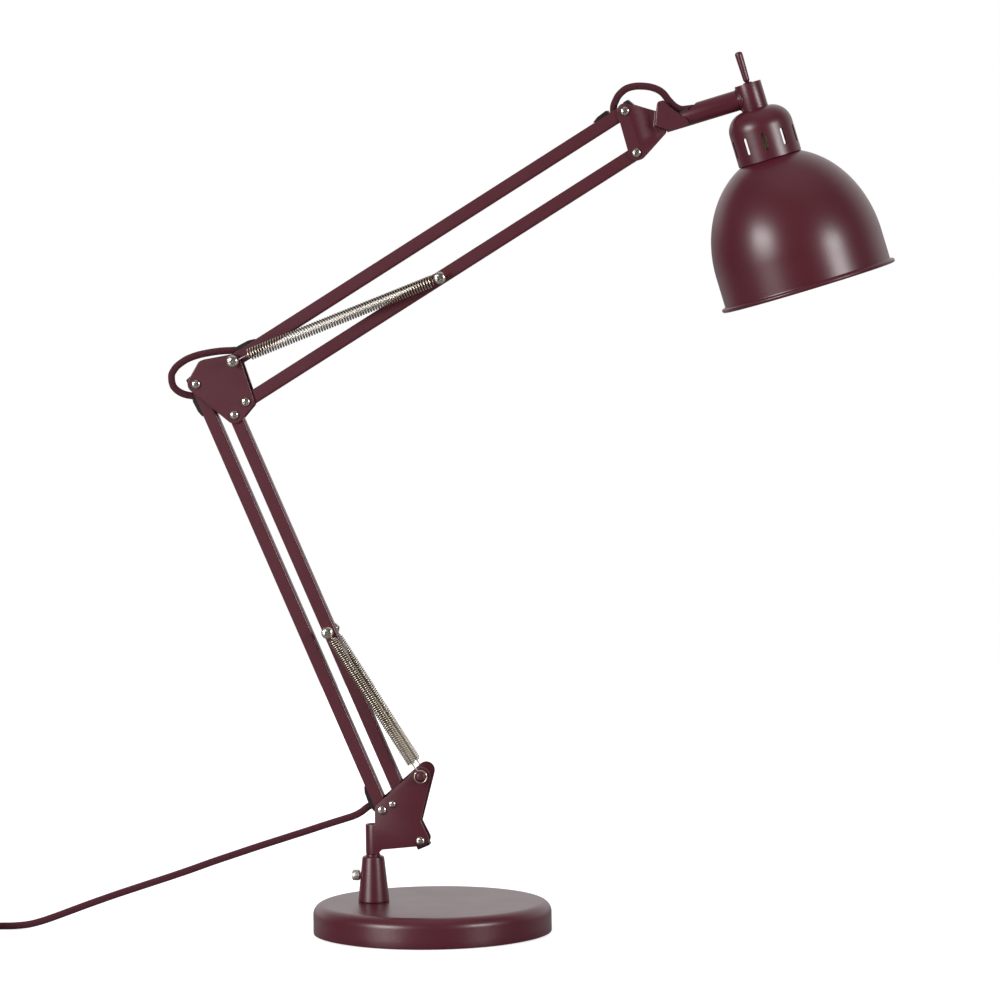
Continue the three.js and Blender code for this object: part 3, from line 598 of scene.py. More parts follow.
def coil_route():
    """Turns inwards on the table and outwards on top of them, each stepping over at one place."""
    centre = middle("mains_cord_coil")
    radii = FLOOR_TURNS + UPPER_TURNS
    route = []
    for number, (radius, following) in enumerate(zip(radii, radii[1:] + radii[-1:])):
        for degrees in range(0, STEP_FROM if number == len(radii) - 1 else 360, COIL_STEP):
            share = max(0, (degrees - STEP_FROM) / (360 - STEP_FROM))
            ease = share * share * (3 - 2 * share)
            r = radius + (following - radius) * ease
            z = ON_TABLE
            if number >= len(FLOOR_TURNS):
                z = ON_TURNS + 0.9 * math.sin(math.pi * share) ** 2
            elif number == len(FLOOR_TURNS) - 1:
                z += (ON_TURNS - ON_TABLE) * ease
            a = math.radians(90 + degrees)
            route.append(Vector((centre.x + r * MM * math.cos(a), centre.y + r * MM * math.sin(a), z * MM)))
    for degrees in range(0, 91, COIL_STEP):
        a = math.radians(degrees)
        z = ON_TURNS + (PLUG_HEIGHT - ON_TURNS) * (1 - math.cos(math.pi * degrees / 90)) / 2
        offset = Vector((15 + 24 * math.cos(a), 24 * math.sin(a), 0)) * MM
        route.append(Vector((centre.x, centre.y, z * MM)) + offset)
    return route


print("route points:", len(ELBOW_LOOP), len(HEAD_LOOP), len(MAINS_LEAD), len(coil_route()))


# %% Cords
def cord_piece(name, points, *nodes):
    route = smooth_route(points, CORD_STEP)
    length = sum((b - a).length for a, b in zip(route, route[1:]))
    piece = add_piece(name, swept_mesh(name, route, CORD_RADIUS), None, "cord_textile", *nodes)
    print(f"{name}: {length:.3f} m")
    return piece, length, route


FIRST_REACH = 8
rest_of_lead = MAINS_LEAD[FIRST_REACH:] + coil_route()[1:]
lead_start, start_length, start_route = cord_piece("cord_from_arm", MAINS_LEAD[:FIRST_REACH + 1])
lead, lead_length, lead_route = cord_piece("mains_lead", rest_of_lead, "mains_cord", "mains_cord_coil")
elbow_low, low_length, low_route = cord_piece("elbow_loop_low", ELBOW_LOOP[10:], "cord_elbow_loop")
elbow_high, high_length, high_route = cord_piece("elbow_loop_high", ELBOW_LOOP[:11])
head_loop, head_length, head_route = cord_piece("head_loop", HEAD_LOOP, "cord_head_loop")

# %% [markdown]
# ## Base, cone and post
# The base is a spun steel cover over a cast disc, on a rubber pad. A turned cone stands on it and grips
# the post, and a knurled screw clamps the post at any bearing. All of these are solids of revolution, so
# each is one profile turned round its axis, with a small radius on every corner.

# %% Frames in millimetres
def in_mm(matrix):
    """The same frame with its points given in millimetres."""
    return matrix @ Matrix.Scale(MM, 4)


def shift(x, y, z):
    return Matrix.Translation((x, y, z))


def rotation(degrees, axis):
    return Matrix.Rotation(math.radians(degrees), 4, axis)


def turned_piece(name, profile, place, body, slot, *nodes, segments=96, closed=False, sharp=35):
    return add_piece(name, turned_mesh(name, profile, place, segments, closed, sharp), body, slot, *nodes)


WORLD = in_mm(Matrix.Identity(4))
ON_POST = in_mm(shift(post_axis.x, 0, 0))

# %% Turn the base, its pad and the cone
BASE_RADIUS, BASE_HEIGHT, BASE_EDGE, BASE_WALL = 100.0, 26.0, 9.0, 1.6
edge_centre = (BASE_RADIUS - BASE_EDGE, BASE_HEIGHT - BASE_EDGE)
cover_profile = [
    (0, BASE_HEIGHT), (45, BASE_HEIGHT), (80, BASE_HEIGHT),
    *arc(edge_centre, BASE_EDGE, BASE_EDGE, 90, 0, 20),
    (BASE_RADIUS, 8), (BASE_RADIUS, 1.5), (BASE_RADIUS - 0.15, 1.13), (BASE_RADIUS - 0.5, 1),
    (BASE_RADIUS - BASE_WALL, 1),
    *arc(edge_centre, BASE_EDGE - BASE_WALL, BASE_EDGE - BASE_WALL, 0, 90, 10),
    (0, BASE_HEIGHT - BASE_WALL),
]
turned_piece("base_shell", cover_profile, WORLD, "base", "paint", "base_cover", segments=192)
turned_piece(
    "base_rubber_pad", [(0, 0), (95.2, 0), (95.8, 0.25), (96, 0.8), (96, 2.2), (0, 2.2)],
    WORLD, "base", "rubber", "base_pad", segments=128,
)
cone_profile = rounded(
    [(0, 26.3), (13, 26.3), (13, 27.6), (9.2, 63.5), (8.3, 64.5), (6.3, 64.5), (6.3, 38.2), (0, 38.2)],
    [0, 0.4, 0.5, 0.4, 0.3, 0.2, 0.2, 0],
)
turned_piece("post_cone", cone_profile, ON_POST, "base", "paint", "post_socket", segments=128)
print("base", 2 * BASE_RADIUS, "mm across, cone", 2 * cone_profile[1][0], "mm at its foot")

# %% [markdown]
# ## Geometry Nodes helpers
# Whatever repeats or follows a rule is made by a small node tree with its sizes as named inputs. An
# input is set by the identifier of its socket. The result is turned into a plain mesh at once, so that
# the modifier is gone before the piece is given to a body.

# %% Build and run a node tree
def geometry_tree(name, inputs):
    """A tree from a geometry, some inputs and a material to a geometry."""
    sockets = [("Geometry", "Geometry", None), *inputs, ("Material", "Material", None)]
    return group_tree("GeometryNodeTree", name, sockets, ["Geometry"], "Geometry")


def finish_tree(tree, ins, outs, geometry):
    """Ends a tree in Realize Instances and Set Material."""
    real = add_node(tree, "GeometryNodeRealizeInstances", {"Geometry": geometry}).outputs["Geometry"]
    coat = add_node(tree, "GeometryNodeSetMaterial", {"Geometry": real, "Material": ins["Material"]})
    feed(tree, outs, {"Geometry": coat.outputs["Geometry"]})
    return tree


def turned_copies(tree, source, points, axis, angle):
    """A copy of an object at every point, turned by an angle about one axis."""
    copy = add_node(tree, "GeometryNodeObjectInfo", {"Object": source}).outputs["Geometry"]
    turn = add_node(tree, "ShaderNodeCombineXYZ", {axis: angle}).outputs["Vector"]
    spin = add_node(tree, "FunctionNodeEulerToRotation", {"Euler": turn}).outputs["Rotation"]
    return add_node(tree, "GeometryNodeInstanceOnPoints", {
        "Points": points, "Instance": copy, "Rotation": spin,
    }).outputs["Instances"]


def run_tree(tree, mesh, **values):
    """The plain mesh that a tree makes from a mesh. values are the tree's inputs, with _ for a space."""
    holder = new_object("holder", mesh)
    modifier = holder.modifiers.new("rule", "NODES")
    modifier.node_group = tree
    for item in tree.interface.items_tree:
        if item.in_out == "INPUT" and item.name.replace(" ", "_") in values:
            modifier[item.identifier] = values[item.name.replace(" ", "_")]
    return evaluated(holder)


def points_mesh(name, points, joined=False):
    mesh = bpy.data.meshes.new(name)
    edges = [(k, k + 1) for k in range(len(points) - 1)] if joined else []
    mesh.from_pydata([tuple(p) for p in points], edges, [])
    return mesh


# %% A ring of copies
def make_ring_tree():
    """Copies of an object turned round the Z axis in equal steps."""
    tree, ins, outs = geometry_tree("ring_of_copies", [
        ("Copy", "Object", None), ("Count", "Int", 10), ("First Angle", "Float", 0.0),
    ])
    points = add_node(tree, "GeometryNodePoints", {"Count": ins["Count"]}).outputs["Points"]
    index = add_node(tree, "GeometryNodeInputIndex").outputs["Index"]
    step = maths(tree, "DIVIDE", 2 * math.pi, ins["Count"])
    angle = maths(tree, "MULTIPLY_ADD", index, step, ins["First Angle"])
    return finish_tree(tree, ins, outs, turned_copies(tree, ins["Copy"], points, "Z", angle))


RING_OF_COPIES = make_ring_tree()


def ring_of(mesh, count, place, material, first_angle=0.0):
    """Equal copies of a mesh round the axis of a frame, as one mesh."""
    source = new_object("source", mesh)
    ring = run_tree(RING_OF_COPIES, points_mesh("none", []), Copy=source, Count=count,
                    First_Angle=first_angle, Material=material)
    bpy.data.objects.remove(source)
    ring.transform(place)
    return ring


# %% The knurled clamp screw
RIDGES = 30
IDENTITY = Matrix.Identity(4)
clamp_frame = ON_POST @ shift(-17.7, 0, 48.3) @ rotation(90, "Y")
screw_profile = rounded(
    [(0, 0), (3.8, 0), (4.2, 0.4), (4.2, 5.8), (3.8, 6.2), (2.4, 6.2), (2.4, 7.0), (1.9, 7.2), (1.9, 11.4),
     (0, 11.4)],
    [0, 0.3, 0.3, 0.3, 0.3, 0.2, 0.2, 0.1, 0.2, 0], 3,
)
ridge_outline = [(4.0, 0.45), (4.4, 0.55), (4.55, 0.8), (4.55, 5.4), (4.4, 5.65), (4.0, 5.75)]
ridge = prism_mesh("ridge", ridge_outline, IDENTITY, -0.22, 0.22)
thumb = joined_mesh("clamp_screw", turned_mesh("thumb", screw_profile, clamp_frame, 60),
                    ring_of(ridge, RIDGES, clamp_frame, nickel))
add_piece("clamp_screw", thumb, "clamp", "nickel", "thumb_screw", material=zinc)
print("clamp screw with", RIDGES, "ridges,", len(thumb.polygons), "faces")

# %% [markdown]
# ## The bracket on the post
# The bracket is one sheet, cut as two plates with a strap between them and folded round the post. Its
# sides carry the feet of both bars between them, and a stud on each side for a spring. The rear side is
# a little larger, so that its edge shows behind the front one. An outline is a tight band round a few
# circles, one round each pivot, which is how such a plate is drawn for the punch.

# %% Bands and sheets
GAP = 0.3
SHEET_INNER, SHEET_OUTER = 5.7, 7.3


def flat(point):
    """A point of the arm plane as x, z in millimetres."""
    return (point.x / MM, point.z / MM)


def band(*circles):
    """The outline of a tight band round some circles, each given as centre and radius."""
    points = sorted(p for centre, radius in circles for p in circle(centre, radius))

    def chain(ordered):
        out = []
        for p in ordered:
            while len(out) > 1:
                (ax, ay), (bx, by) = out[-2:]
                if (bx - ax) * (p[1] - ay) - (by - ay) * (p[0] - ax) > 1e-9:
                    break
                out.pop()
            out.append(p)
        return out[:-1]

    return chain(points) + chain(points[::-1])


def flat_sheet(name, outlines, frame_in_mm, low, high):
    """A flat plate from one outline, or from several that overlap, with its edges still sharp."""
    solids = [prism_mesh(name, outline, frame_in_mm, low, high) for outline in outlines]
    whole = boolean(solids[0], "UNION", *solids[1:]) if len(solids) > 1 else solids[0]
    bm = bmesh.new()
    bm.from_mesh(whole)
    bmesh.ops.remove_doubles(bm, verts=bm.verts, dist=1e-6)
    bmesh.ops.dissolve_limit(bm, angle_limit=math.radians(0.5), verts=bm.verts, edges=bm.edges)
    return bm

def sheet_mesh(name, outlines, frame_in_mm, low, high, round_mm=0.6):
    return bevelled(mesh_from(flat_sheet(name, outlines, frame_in_mm, low, high), name), round_mm)


def cut_at_plane(bm, point, normal):
    """Adds edges where a plane meets the faces."""
    everything = bm.verts[:] + bm.edges[:] + bm.faces[:]
    bmesh.ops.bisect_plane(bm, geom=everything, dist=1e-7, plane_co=point, plane_no=normal)


# %% Post and studs, and the sheet folded round them
rear_foot, front_foot = flat(lower_rear_foot), flat(lower_front_foot)
spring_foot = flat(lower_spring_foot)
WAIST, LEFT_FOOT, CORNER = (-13, 94), (rear_foot[0] - 3.8, 75), (-41.6, 73)
POST_TOP, STRAP_BOTTOM, FOLD_STEPS = 91.5, 67, 40
FOLD_X, FOLD_RADIUS = post_axis.x / MM + 1.2, (SHEET_INNER + SHEET_OUTER) / 2
FOLD_LENGTH = math.pi * FOLD_RADIUS


def plate_outlines(ear_rise, edge_rise):
    """One side of the bracket: an arm up to the spring stud, a foot under the front bar, and a fillet."""
    ear = (spring_foot[0] + 0.6 * ear_rise, spring_foot[1] + ear_rise)
    arm = band((rear_foot, 6.2 + edge_rise), (ear, 7.2), (WAIST, 4.6), (LEFT_FOOT, 2.4))
    below_front_bar = (front_foot[0] + 0.9, front_foot[1] + 1.5)
    foot = band((WAIST, 4.6), (below_front_bar, 5.9), (CORNER, 2.3), (LEFT_FOOT, 2.4))
    fillet = [(-46.5, STRAP_BOTTOM), (-45.2, STRAP_BOTTOM), (-44.2, 67.5), (-43.2, 68.5), (-42.4, 69.7),
              (-41.4, 70.75), (-41.4, 76), (-46.5, 76)]
    return [arm, foot, fillet]


def folded_plates():
    """Both plates and the strap between them as one flat sheet, then folded round the post."""
    strap = [(FOLD_X - FOLD_LENGTH - 3.1, STRAP_BOTTOM), (FOLD_X + 3.1, STRAP_BOTTOM),
             (FOLD_X + 3.1, POST_TOP), (FOLD_X - FOLD_LENGTH - 3.1, POST_TOP)]
    rear = [[(2 * FOLD_X - FOLD_LENGTH - x, z) for x, z in outline] for outline in plate_outlines(3.5, 1.6)]
    bm = flat_sheet("folded_plates", [*plate_outlines(0, 0), strap, *rear], WORLD, -SHEET_OUTER, -SHEET_INNER)
    folds = [FOLD_X - FOLD_LENGTH * k / FOLD_STEPS for k in range(FOLD_STEPS + 1)]
    for line in (FOLD_X + 0.3, *folds, FOLD_X - FOLD_LENGTH - 0.3):
        cut_at_plane(bm, (line * MM, 0, 0), (1, 0, 0))
    for vert in bm.verts:
        along, radius = FOLD_X - vert.co.x / MM, -vert.co.y / MM
        if along > 0:
            turn, beyond = min(along / FOLD_RADIUS, math.pi), max(along - FOLD_LENGTH, 0)
            vert.co.x = (FOLD_X - radius * math.sin(turn) + beyond) * MM
            vert.co.y = -radius * math.cos(turn) * MM
    return bevelled(mesh_from(bm, "folded_plates"), 0.6)


def stud_mesh(side):
    profile = rounded(
        [(0, -0.3), (4.4, -0.3), (4.4, 5.6), (3.6, 6.6), (3.6, 10), (0, 10)], [0, 0.1, 0.5, 0.4, 1.4, 0], 5
    )
    place = Matrix.Translation(lower_spring_foot + Vector((0, side * SHEET_INNER * MM, 0)))
    return turned_mesh("stud", profile, in_mm(place @ rotation(-90 * side, "X")))


post_profile = rounded(
    [(0, 38.5), (6, 38.5), (6, 66.2), (5.4, 66.8), (5.4, 91.1), (4.6, 91.1), (4.6, 80), (0, 80)],
    [0, 0.8, 0.3, 0.3, 0.3, 0.3, 0.3, 0], 4,
)
web_outline = [(-47.35, 72), (-41.85, 72), (-41.85, 89), (-47.35, 89)]
bracket = joined_mesh(
    "base_bracket", turned_mesh("post", post_profile, ON_POST, 72), folded_plates(),
    sheet_mesh("web", [web_outline], WORLD, -SHEET_INNER, SHEET_INNER, 0.2), stud_mesh(-1), stud_mesh(1),
)
add_piece("base_bracket", bracket, "post", "paint", "post_bracket")
print("bracket:", len(bracket.polygons), "faces, folded at radius", FOLD_RADIUS)

# %% [markdown]
# ## The four bars
# Each bar is a strip of steel folded to a U-channel, 10 by 11.2 mm, so its two long corners are rounded
# and its open side faces outwards. The cross-section is one closed outline with the bend radii in it,
# and it is pushed along the bar.

# %% Folded channels with their plugs and cord clips
BAR_WIDTH, BAR_DEPTH, BAR_WALL, PAST_PIVOT = 10.0, 11.2, 1.2, 1.5
BAR_LENGTH = bar_length / MM
half_width, half_depth = BAR_WIDTH / 2, BAR_DEPTH / 2
inner_width, channel_floor = half_width - BAR_WALL, BAR_WALL - half_depth
channel_section = rounded(
    [(-half_width, half_depth), (-half_width, -half_depth), (half_width, -half_depth),
     (half_width, half_depth), (inner_width, half_depth), (inner_width, channel_floor),
     (-inner_width, channel_floor), (-inner_width, half_depth)],
    [0.25, 1.9, 1.9, 0.25, 0.25, 0.8, 0.8, 0.25], 5, closed=True,
)
ACROSS = rotation(90, "Z")


def moulded(name, place, cap, core, round_mm):
    """A moulded piece: a cap as wide as the channel, joined to a core that fits inside it."""
    side = inner_width - GAP
    made = boolean(prism_mesh(name, cap, place, -half_width, half_width), "UNION",
                   prism_mesh(name, core, place, -side, side))
    return bevelled(made, round_mm)


def plug_mesh(name, place, cap):
    """A plug: its core inside the channel and a cap, given as x, z outline, over the cut end."""
    core = [(-1.9, channel_floor + GAP), (4, channel_floor + GAP), (4, 4.2), (-1.9, 4.2)]
    return moulded(name, place, rounded(cap, 0.9, 4, closed=True), core, 0.5)


SQUARE_CAP = [(-1.8, -5.6), (-6.4, -5.6), (-6.4, 5.6), (-1.8, 5.6)]
HOOD_CAP = [(-1.8, -5.6), (-5.4, -5.6), (-8.6, 0.2), (-6.4, 6.9), (-1.8, 6.9)]
ROUND_CAP = [(-1.8, -5.6), *arc((0, 0), 5.6, 5.6, 255, 105, 15), (-1.8, 5.6)]


def clip_mesh(name, place, start, tail):
    """A clip that closes the channel over the cord; its tail reaches down to the bar's foot."""
    edge = half_depth + GAP
    lip = edge + (0.9 if tail > 4 else 2.2)
    outline = rounded(
        [(start - tail, edge), (start + 15, edge), (start + 15, edge + 0.5), (start + 10, edge + 2.3),
         (start + 1.5 - 0.5 * tail, edge + 3.0), (start - tail, lip)],
        [0.2, 0.1, 0.2, 2, 0.8, 0.3], 4, closed=True,
    )
    key = [(start + x, edge + z) for x, z in ((3, 0.2), (3, -2.2), (13, -2.2), (13, 0.2))]
    return moulded(name, place, outline, key, 0.4)


def bar_pieces(arm, word, foot, direction, body, foot_cap, end_cap, clips=()):
    """One bar with its two plugs and, where it carries the cord, its clips and the run of cord inside it.

    clips gives the start and the tail of the clip at the foot and of the one at the end.
    """
    near = in_mm(local_frame(foot, direction))
    far = near @ shift(BAR_LENGTH, 0, 0) @ rotation(180, "Z")
    ends = (("foot", near), ("end", far))
    name = f"{arm}_{word}"
    strip = prism_mesh(name, channel_section, near @ ACROSS, -BAR_LENGTH - PAST_PIVOT, PAST_PIVOT, 50)
    add_piece(f"{name}_channel", bevelled(strip, 0.2, 2, 60), body, "paint", f"{name}_bar")
    for (end, place), cap in zip(ends, (foot_cap, end_cap)):
        plug_name = f"{name}_{end}_plug"
        add_piece(plug_name, plug_mesh(plug_name, place, cap), body, "black_plastic",
                  f"{name}_plug_{end}")
    if not clips:
        return
    for (end, place), (start, tail) in zip(ends, clips):
        clip_name = f"{arm}_clip_{end}"
        add_piece(clip_name, clip_mesh(clip_name, place, start, tail), body, "black_plastic",
                  f"cord_clip_{arm}_{end}")
    low = channel_floor + GAP + CORD_RADIUS / MM
    run = [near @ Vector((10 + (BAR_LENGTH - 20) * k / 80, 0, low)) for k in range(81)]
    add_piece(f"{arm}_cord_run", swept_mesh("run", run, CORD_RADIUS), body, "cord_textile",
              f"cord_in_{arm}_bar")


for bar in (
    ("lower", "rear", lower_rear_foot, lower_up, "lower_rear_arm", ROUND_CAP, HOOD_CAP, ((9, 8), (12, 2))),
    ("lower", "front", lower_front_foot, lower_up, "lower_front_arm", SQUARE_CAP, ROUND_CAP),
    ("upper", "top", upper_top_foot, upper_out, "upper_top_arm", ROUND_CAP, HOOD_CAP, ((8, 2), (12.5, 0))),
    ("upper", "bottom", upper_bottom_foot, upper_out, "upper_bottom_arm", ROUND_CAP, ROUND_CAP),
):
    bar_pieces(*bar)
print("four bars,", round(BAR_LENGTH + 2 * PAST_PIVOT, 1), "mm of channel each")

# %% [markdown]
# ## Balance springs
# A tension spring is one wire: a ring or hook at each end, a short leg, and a coil between them. The
# wire starts here as a polyline with both hooks and a straight middle. A node tree winds the straight
# part into a coil, at a radius that grows from nothing over the first part of a turn, as a real
# spring's does, and then gives the line its thickness.

# %% Wind and thicken a wire
def make_spring_tree():
    tree, ins, outs = geometry_tree("wind_spring", [
        ("Coil Start", "Float", 0.0), ("Coil End", "Float", 0.1), ("Coil Radius", "Float", 0.004),
        ("Turns", "Float", 60.0), ("Easing", "Float", 0.002), ("Wire Radius", "Float", 0.0006),
    ])
    x = split_vector(tree, add_node(tree, "GeometryNodeInputPosition").outputs["Position"])["X"]
    start, end = ins["Coil Start"], ins["Coil End"]
    from_start, to_end = maths(tree, "SUBTRACT", x, start), maths(tree, "SUBTRACT", end, x)
    share = maths(tree, "DIVIDE", from_start, maths(tree, "SUBTRACT", end, start))
    angle = maths(tree, "MULTIPLY", maths(tree, "MULTIPLY", share, ins["Turns"]), 2 * math.pi)
    ease = ramp(tree, maths(tree, "MINIMUM", from_start, to_end), 0.0, ins["Easing"])
    radius = maths(tree, "MULTIPLY", ease, ins["Coil Radius"])
    offset = add_node(tree, "ShaderNodeCombineXYZ", {
        "Y": maths(tree, "MULTIPLY", radius, maths(tree, "SINE", angle)),
        "Z": maths(tree, "MULTIPLY", radius, maths(tree, "COSINE", angle)),
    }).outputs["Vector"]
    wound = add_node(tree, "GeometryNodeSetPosition", {"Geometry": ins["Geometry"], "Offset": offset})
    line = add_node(tree, "GeometryNodeMeshToCurve", {"Mesh": wound.outputs["Geometry"]})
    section = add_node(tree, "GeometryNodeCurvePrimitiveCircle", {
        "Resolution": 8, "Radius": ins["Wire Radius"],
    })
    thick = add_node(tree, "GeometryNodeCurveToMesh", {
        "Curve": line.outputs["Curve"], "Profile Curve": section.outputs["Curve"], "Fill Caps": True,
    })
    return finish_tree(tree, ins, outs, thick.outputs["Mesh"])


WIND_SPRING = make_spring_tree()
SPRING_SIDE = 13.5
STEPS_PER_TURN = 18


def spring_mesh(name, anchor, screw, side, coil_radius, wire, pitch, ring_radius, eye_radius, head, tail):
    """The spring along its own X axis, from the anchor to the bar's screw, put in its place.

    head and tail are the lengths before and after the coil, with the ring and the eye in them.
    """
    reach = (screw - anchor).length / MM
    turns = round((reach - head - tail) / pitch)
    steps = turns * STEPS_PER_TURN
    ring = arc((0, 0), ring_radius, ring_radius, 14, 344, 33)
    leg = [(ring_radius + 1.2 + (head - ring_radius - 1.2) * k / 4, -0.35 * (1 - k / 4)) for k in range(4)]
    coil = [(head + (reach - head - tail) * k / steps, 0) for k in range(steps + 1)]
    eye_start = reach - tail + 0.5
    leg_length = reach - eye_radius - 1.0 - eye_start
    tail_leg = [(eye_start + leg_length * k / 3, 0.3 * k / 3) for k in range(1, 4)]
    eye = arc((reach, 0), eye_radius, eye_radius, 158, -132, 29)
    points = [Vector((x, 0, z)) * MM for x, z in ring + leg + coil + tail_leg + eye]
    made = run_tree(
        WIND_SPRING, points_mesh(name, points, joined=True), Coil_Start=head * MM,
        Coil_End=(reach - tail) * MM, Coil_Radius=coil_radius * MM, Turns=float(turns),
        Easing=0.8 * pitch * MM, Wire_Radius=wire / 2 * MM, Material=spring_steel,
    )
    # U of this map is how far out on the wire each point lies; the wire's material paints shade on the inner
    # side from it.
    round_wire = made.uv_layers.new(name="UVMap")
    for loop in made.loops:
        x, y, z = made.vertices[loop.vertex_index].co / MM
        wound = head + pitch < x < reach - tail - pitch
        outward = 0.5 + (math.hypot(y, z) - coil_radius) / wire if wound else 1.0
        round_wire.data[loop.index].uv = (outward, x / pitch)
    made.transform(shift(0, side * MM, 0) @ local_frame(anchor, screw - anchor))
    for face in made.polygons:
        face.use_smooth = True
    return made, turns


lower_spring_end = lower_front_foot + lower_up * 191.2 * MM
upper_spring_end = upper_bottom_foot + upper_out * 195.5 * MM
SPRINGS = {
    "lower": (lower_spring_foot, lower_spring_end, {
        "coil_radius": 3.6, "wire": 1.2, "pitch": 1.8, "ring_radius": 5.1, "eye_radius": 3.6, "head": 12.5,
        "tail": 6.2,
    }),
    "upper": (upper_top_foot, upper_spring_end, {
        "coil_radius": 4.6, "wire": 1.3, "pitch": 2.35, "ring_radius": 4.0, "eye_radius": 3.65, "head": 13.0,
        "tail": 6.2,
    }),
}
spring_blends = []
for word, side in (("front", -SPRING_SIDE), ("rear", SPRING_SIDE)):
    for arm, (anchor, screw, size) in SPRINGS.items():
        name = f"{arm}_balance_spring_{word}"
        mesh, turns = spring_mesh(name, anchor, screw, side, **size)
        nodes = f"{arm}_spring_{word}", f"{arm}_spring_eye_{word}"
        spring = add_piece(name, mesh, None, "spring_steel", *nodes)
        along = (screw - anchor).normalized()
        coil_ends = anchor + along * size["head"] * MM, screw - along * size["tail"] * MM
        spring_blends.append((spring, arm, *coil_ends))
        print(f"{name}: {turns} turns, {len(mesh.polygons)} faces")

# %% [markdown]
# ## Screws
# Every joint turns on a cross-head screw with a nut behind. Each of the three sizes is modelled once,
# with the recess cut into the domed head. A node tree then puts a copy at each pivot, turned by a chance
# angle that a fixed seed decides, because no two screws stop at the same angle.

# %% Model the three screws
def cross_screw(name, r, h, shank, head_back, nut_front):
    """A screw along +Y through the origin: a domed head of radius r and height h with a cross recess, a
    shank and a hexagon nut."""
    nut_height = 0.75 * r
    end = nut_front - head_back + nut_height + 0.8
    angles = [math.radians(a) for a in range(9, 91, 9)]
    dome = [(r * math.sin(a) ** 0.9, -h * (0.22 + 0.78 * math.cos(a) ** 0.8)) for a in angles]
    head = [(0, -h), *dome, (r, -0.1 * h), (r - 0.12, 0)]
    along_y = in_mm(shift(0, head_back * MM, 0) @ rotation(-90, "X"))
    solid = turned_mesh(name, [*head, (shank, 0), (shank, end - 0.4), (shank - 0.4, end), (0, end)], along_y)
    half_long, half_wide = 0.62 * r, 0.15 * r
    top = [(-half_long, -half_wide), (half_long, -half_wide), (half_long, half_wide), (-half_long, half_wide)]
    low = [(x * 0.55, y * 0.8) for x, y in top]
    cutters = []
    for degrees in (0, 90):
        spin = along_y @ rotation(degrees, "Z")
        levels = ((top, -h - 0.3), (top, -0.94 * h), (low, -0.5 * h))
        rings = [[spin @ Vector((x, y, z)) for x, y in ring] for ring, z in levels]
        cutters.append(lofted_mesh("recess", rings))
    solid = boolean(solid, "DIFFERENCE", *cutters)
    hole, rim = shank - 0.1, 1.05 * r
    nut_profile = rounded([(hole, 0), (rim, 0), (rim, nut_height), (hole, nut_height)], [0, 0.3, 0.5, 0], 3)
    nut_place = along_y @ shift(0, 0, nut_front - head_back)
    upright = nut_place @ rotation(90, "X")
    hexagon = prism_mesh("hexagon", circle((0, 0), 1.13 * r, 6), upright, -8, 8)
    nut = boolean(turned_mesh("nut", nut_profile, nut_place, closed=True), "INTERSECT", hexagon)
    return joined_mesh(name, solid, nut, sharp=30)


def make_screw_tree():
    """A copy of a screw at every point, turned about its own axis by a chance angle."""
    tree, ins, outs = geometry_tree("set_screws", [("Screw", "Object", None), ("Seed", "Int", 1)])
    points = add_node(tree, "GeometryNodeMeshToPoints", {"Mesh": ins["Geometry"]}).outputs["Points"]
    chance = add_node(tree, "FunctionNodeRandomValue", {3: math.pi, "Seed": ins["Seed"]}, data_type="FLOAT")
    return finish_tree(tree, ins, outs, turned_copies(tree, ins["Screw"], points, "Y", chance.outputs[1]))


SET_SCREWS = make_screw_tree()
PLATE_FACE = SHEET_OUTER + 0.05
screws = {name: new_object(name, cross_screw(name, *sizes)) for name, sizes in {
    "joint_screw": (3.8, 2.7, 2.0, -PLATE_FACE, PLATE_FACE),
    "small_screw": (3.1, 2.3, 1.7, -PLATE_FACE, PLATE_FACE),
    "long_screw": (5.0, 3.4, 2.4, -SPRING_SIDE - 2.7, SPRING_SIDE + 1.4),
}.items()}
stop_point = Vector((-31.6 * MM, 0, 109.3 * MM))
for name, kind, seed, body, places in (
    ("bracket_screws", "joint_screw", 3, "post", {
        "screw_lower_rear_foot": lower_rear_foot, "screw_lower_front_foot": lower_front_foot,
    }),
    ("bracket_stop_screw", "small_screw", 9, "post", {"stop_screw": stop_point}),
    ("elbow_screws", "joint_screw", 8, "elbow", {
        "screw_lower_rear_top": lower_rear_top, "screw_lower_front_top": lower_front_top,
        "screw_upper_bottom_foot": upper_bottom_foot,
    }),
    ("elbow_spring_screw", "long_screw", 5, "elbow", {"screw_upper_top_foot": upper_top_foot}),
    ("lower_spring_bolt", "long_screw", 2, "lower_front_arm", {"lower_spring_screw": lower_spring_end}),
    ("upper_spring_bolt", "long_screw", 6, "upper_bottom_arm", {"upper_spring_screw": upper_spring_end}),
    ("head_screws", "joint_screw", 4, "head", {
        "screw_upper_top_end": upper_top_end, "screw_upper_bottom_end": upper_bottom_end,
    }),
):
    points = points_mesh(name, places.values())
    made = run_tree(SET_SCREWS, points, Screw=screws[kind], Seed=seed, Material=nickel)
    add_piece(name, made, body, "nickel", *places)
    print(f"{name}: {len(places)} on {body}")
for holder in screws.values():
    bpy.data.objects.remove(holder)

# %% [markdown]
# ## The elbow
# Two equal plates hold the four pivots of the elbow. Each is a band round five circles.

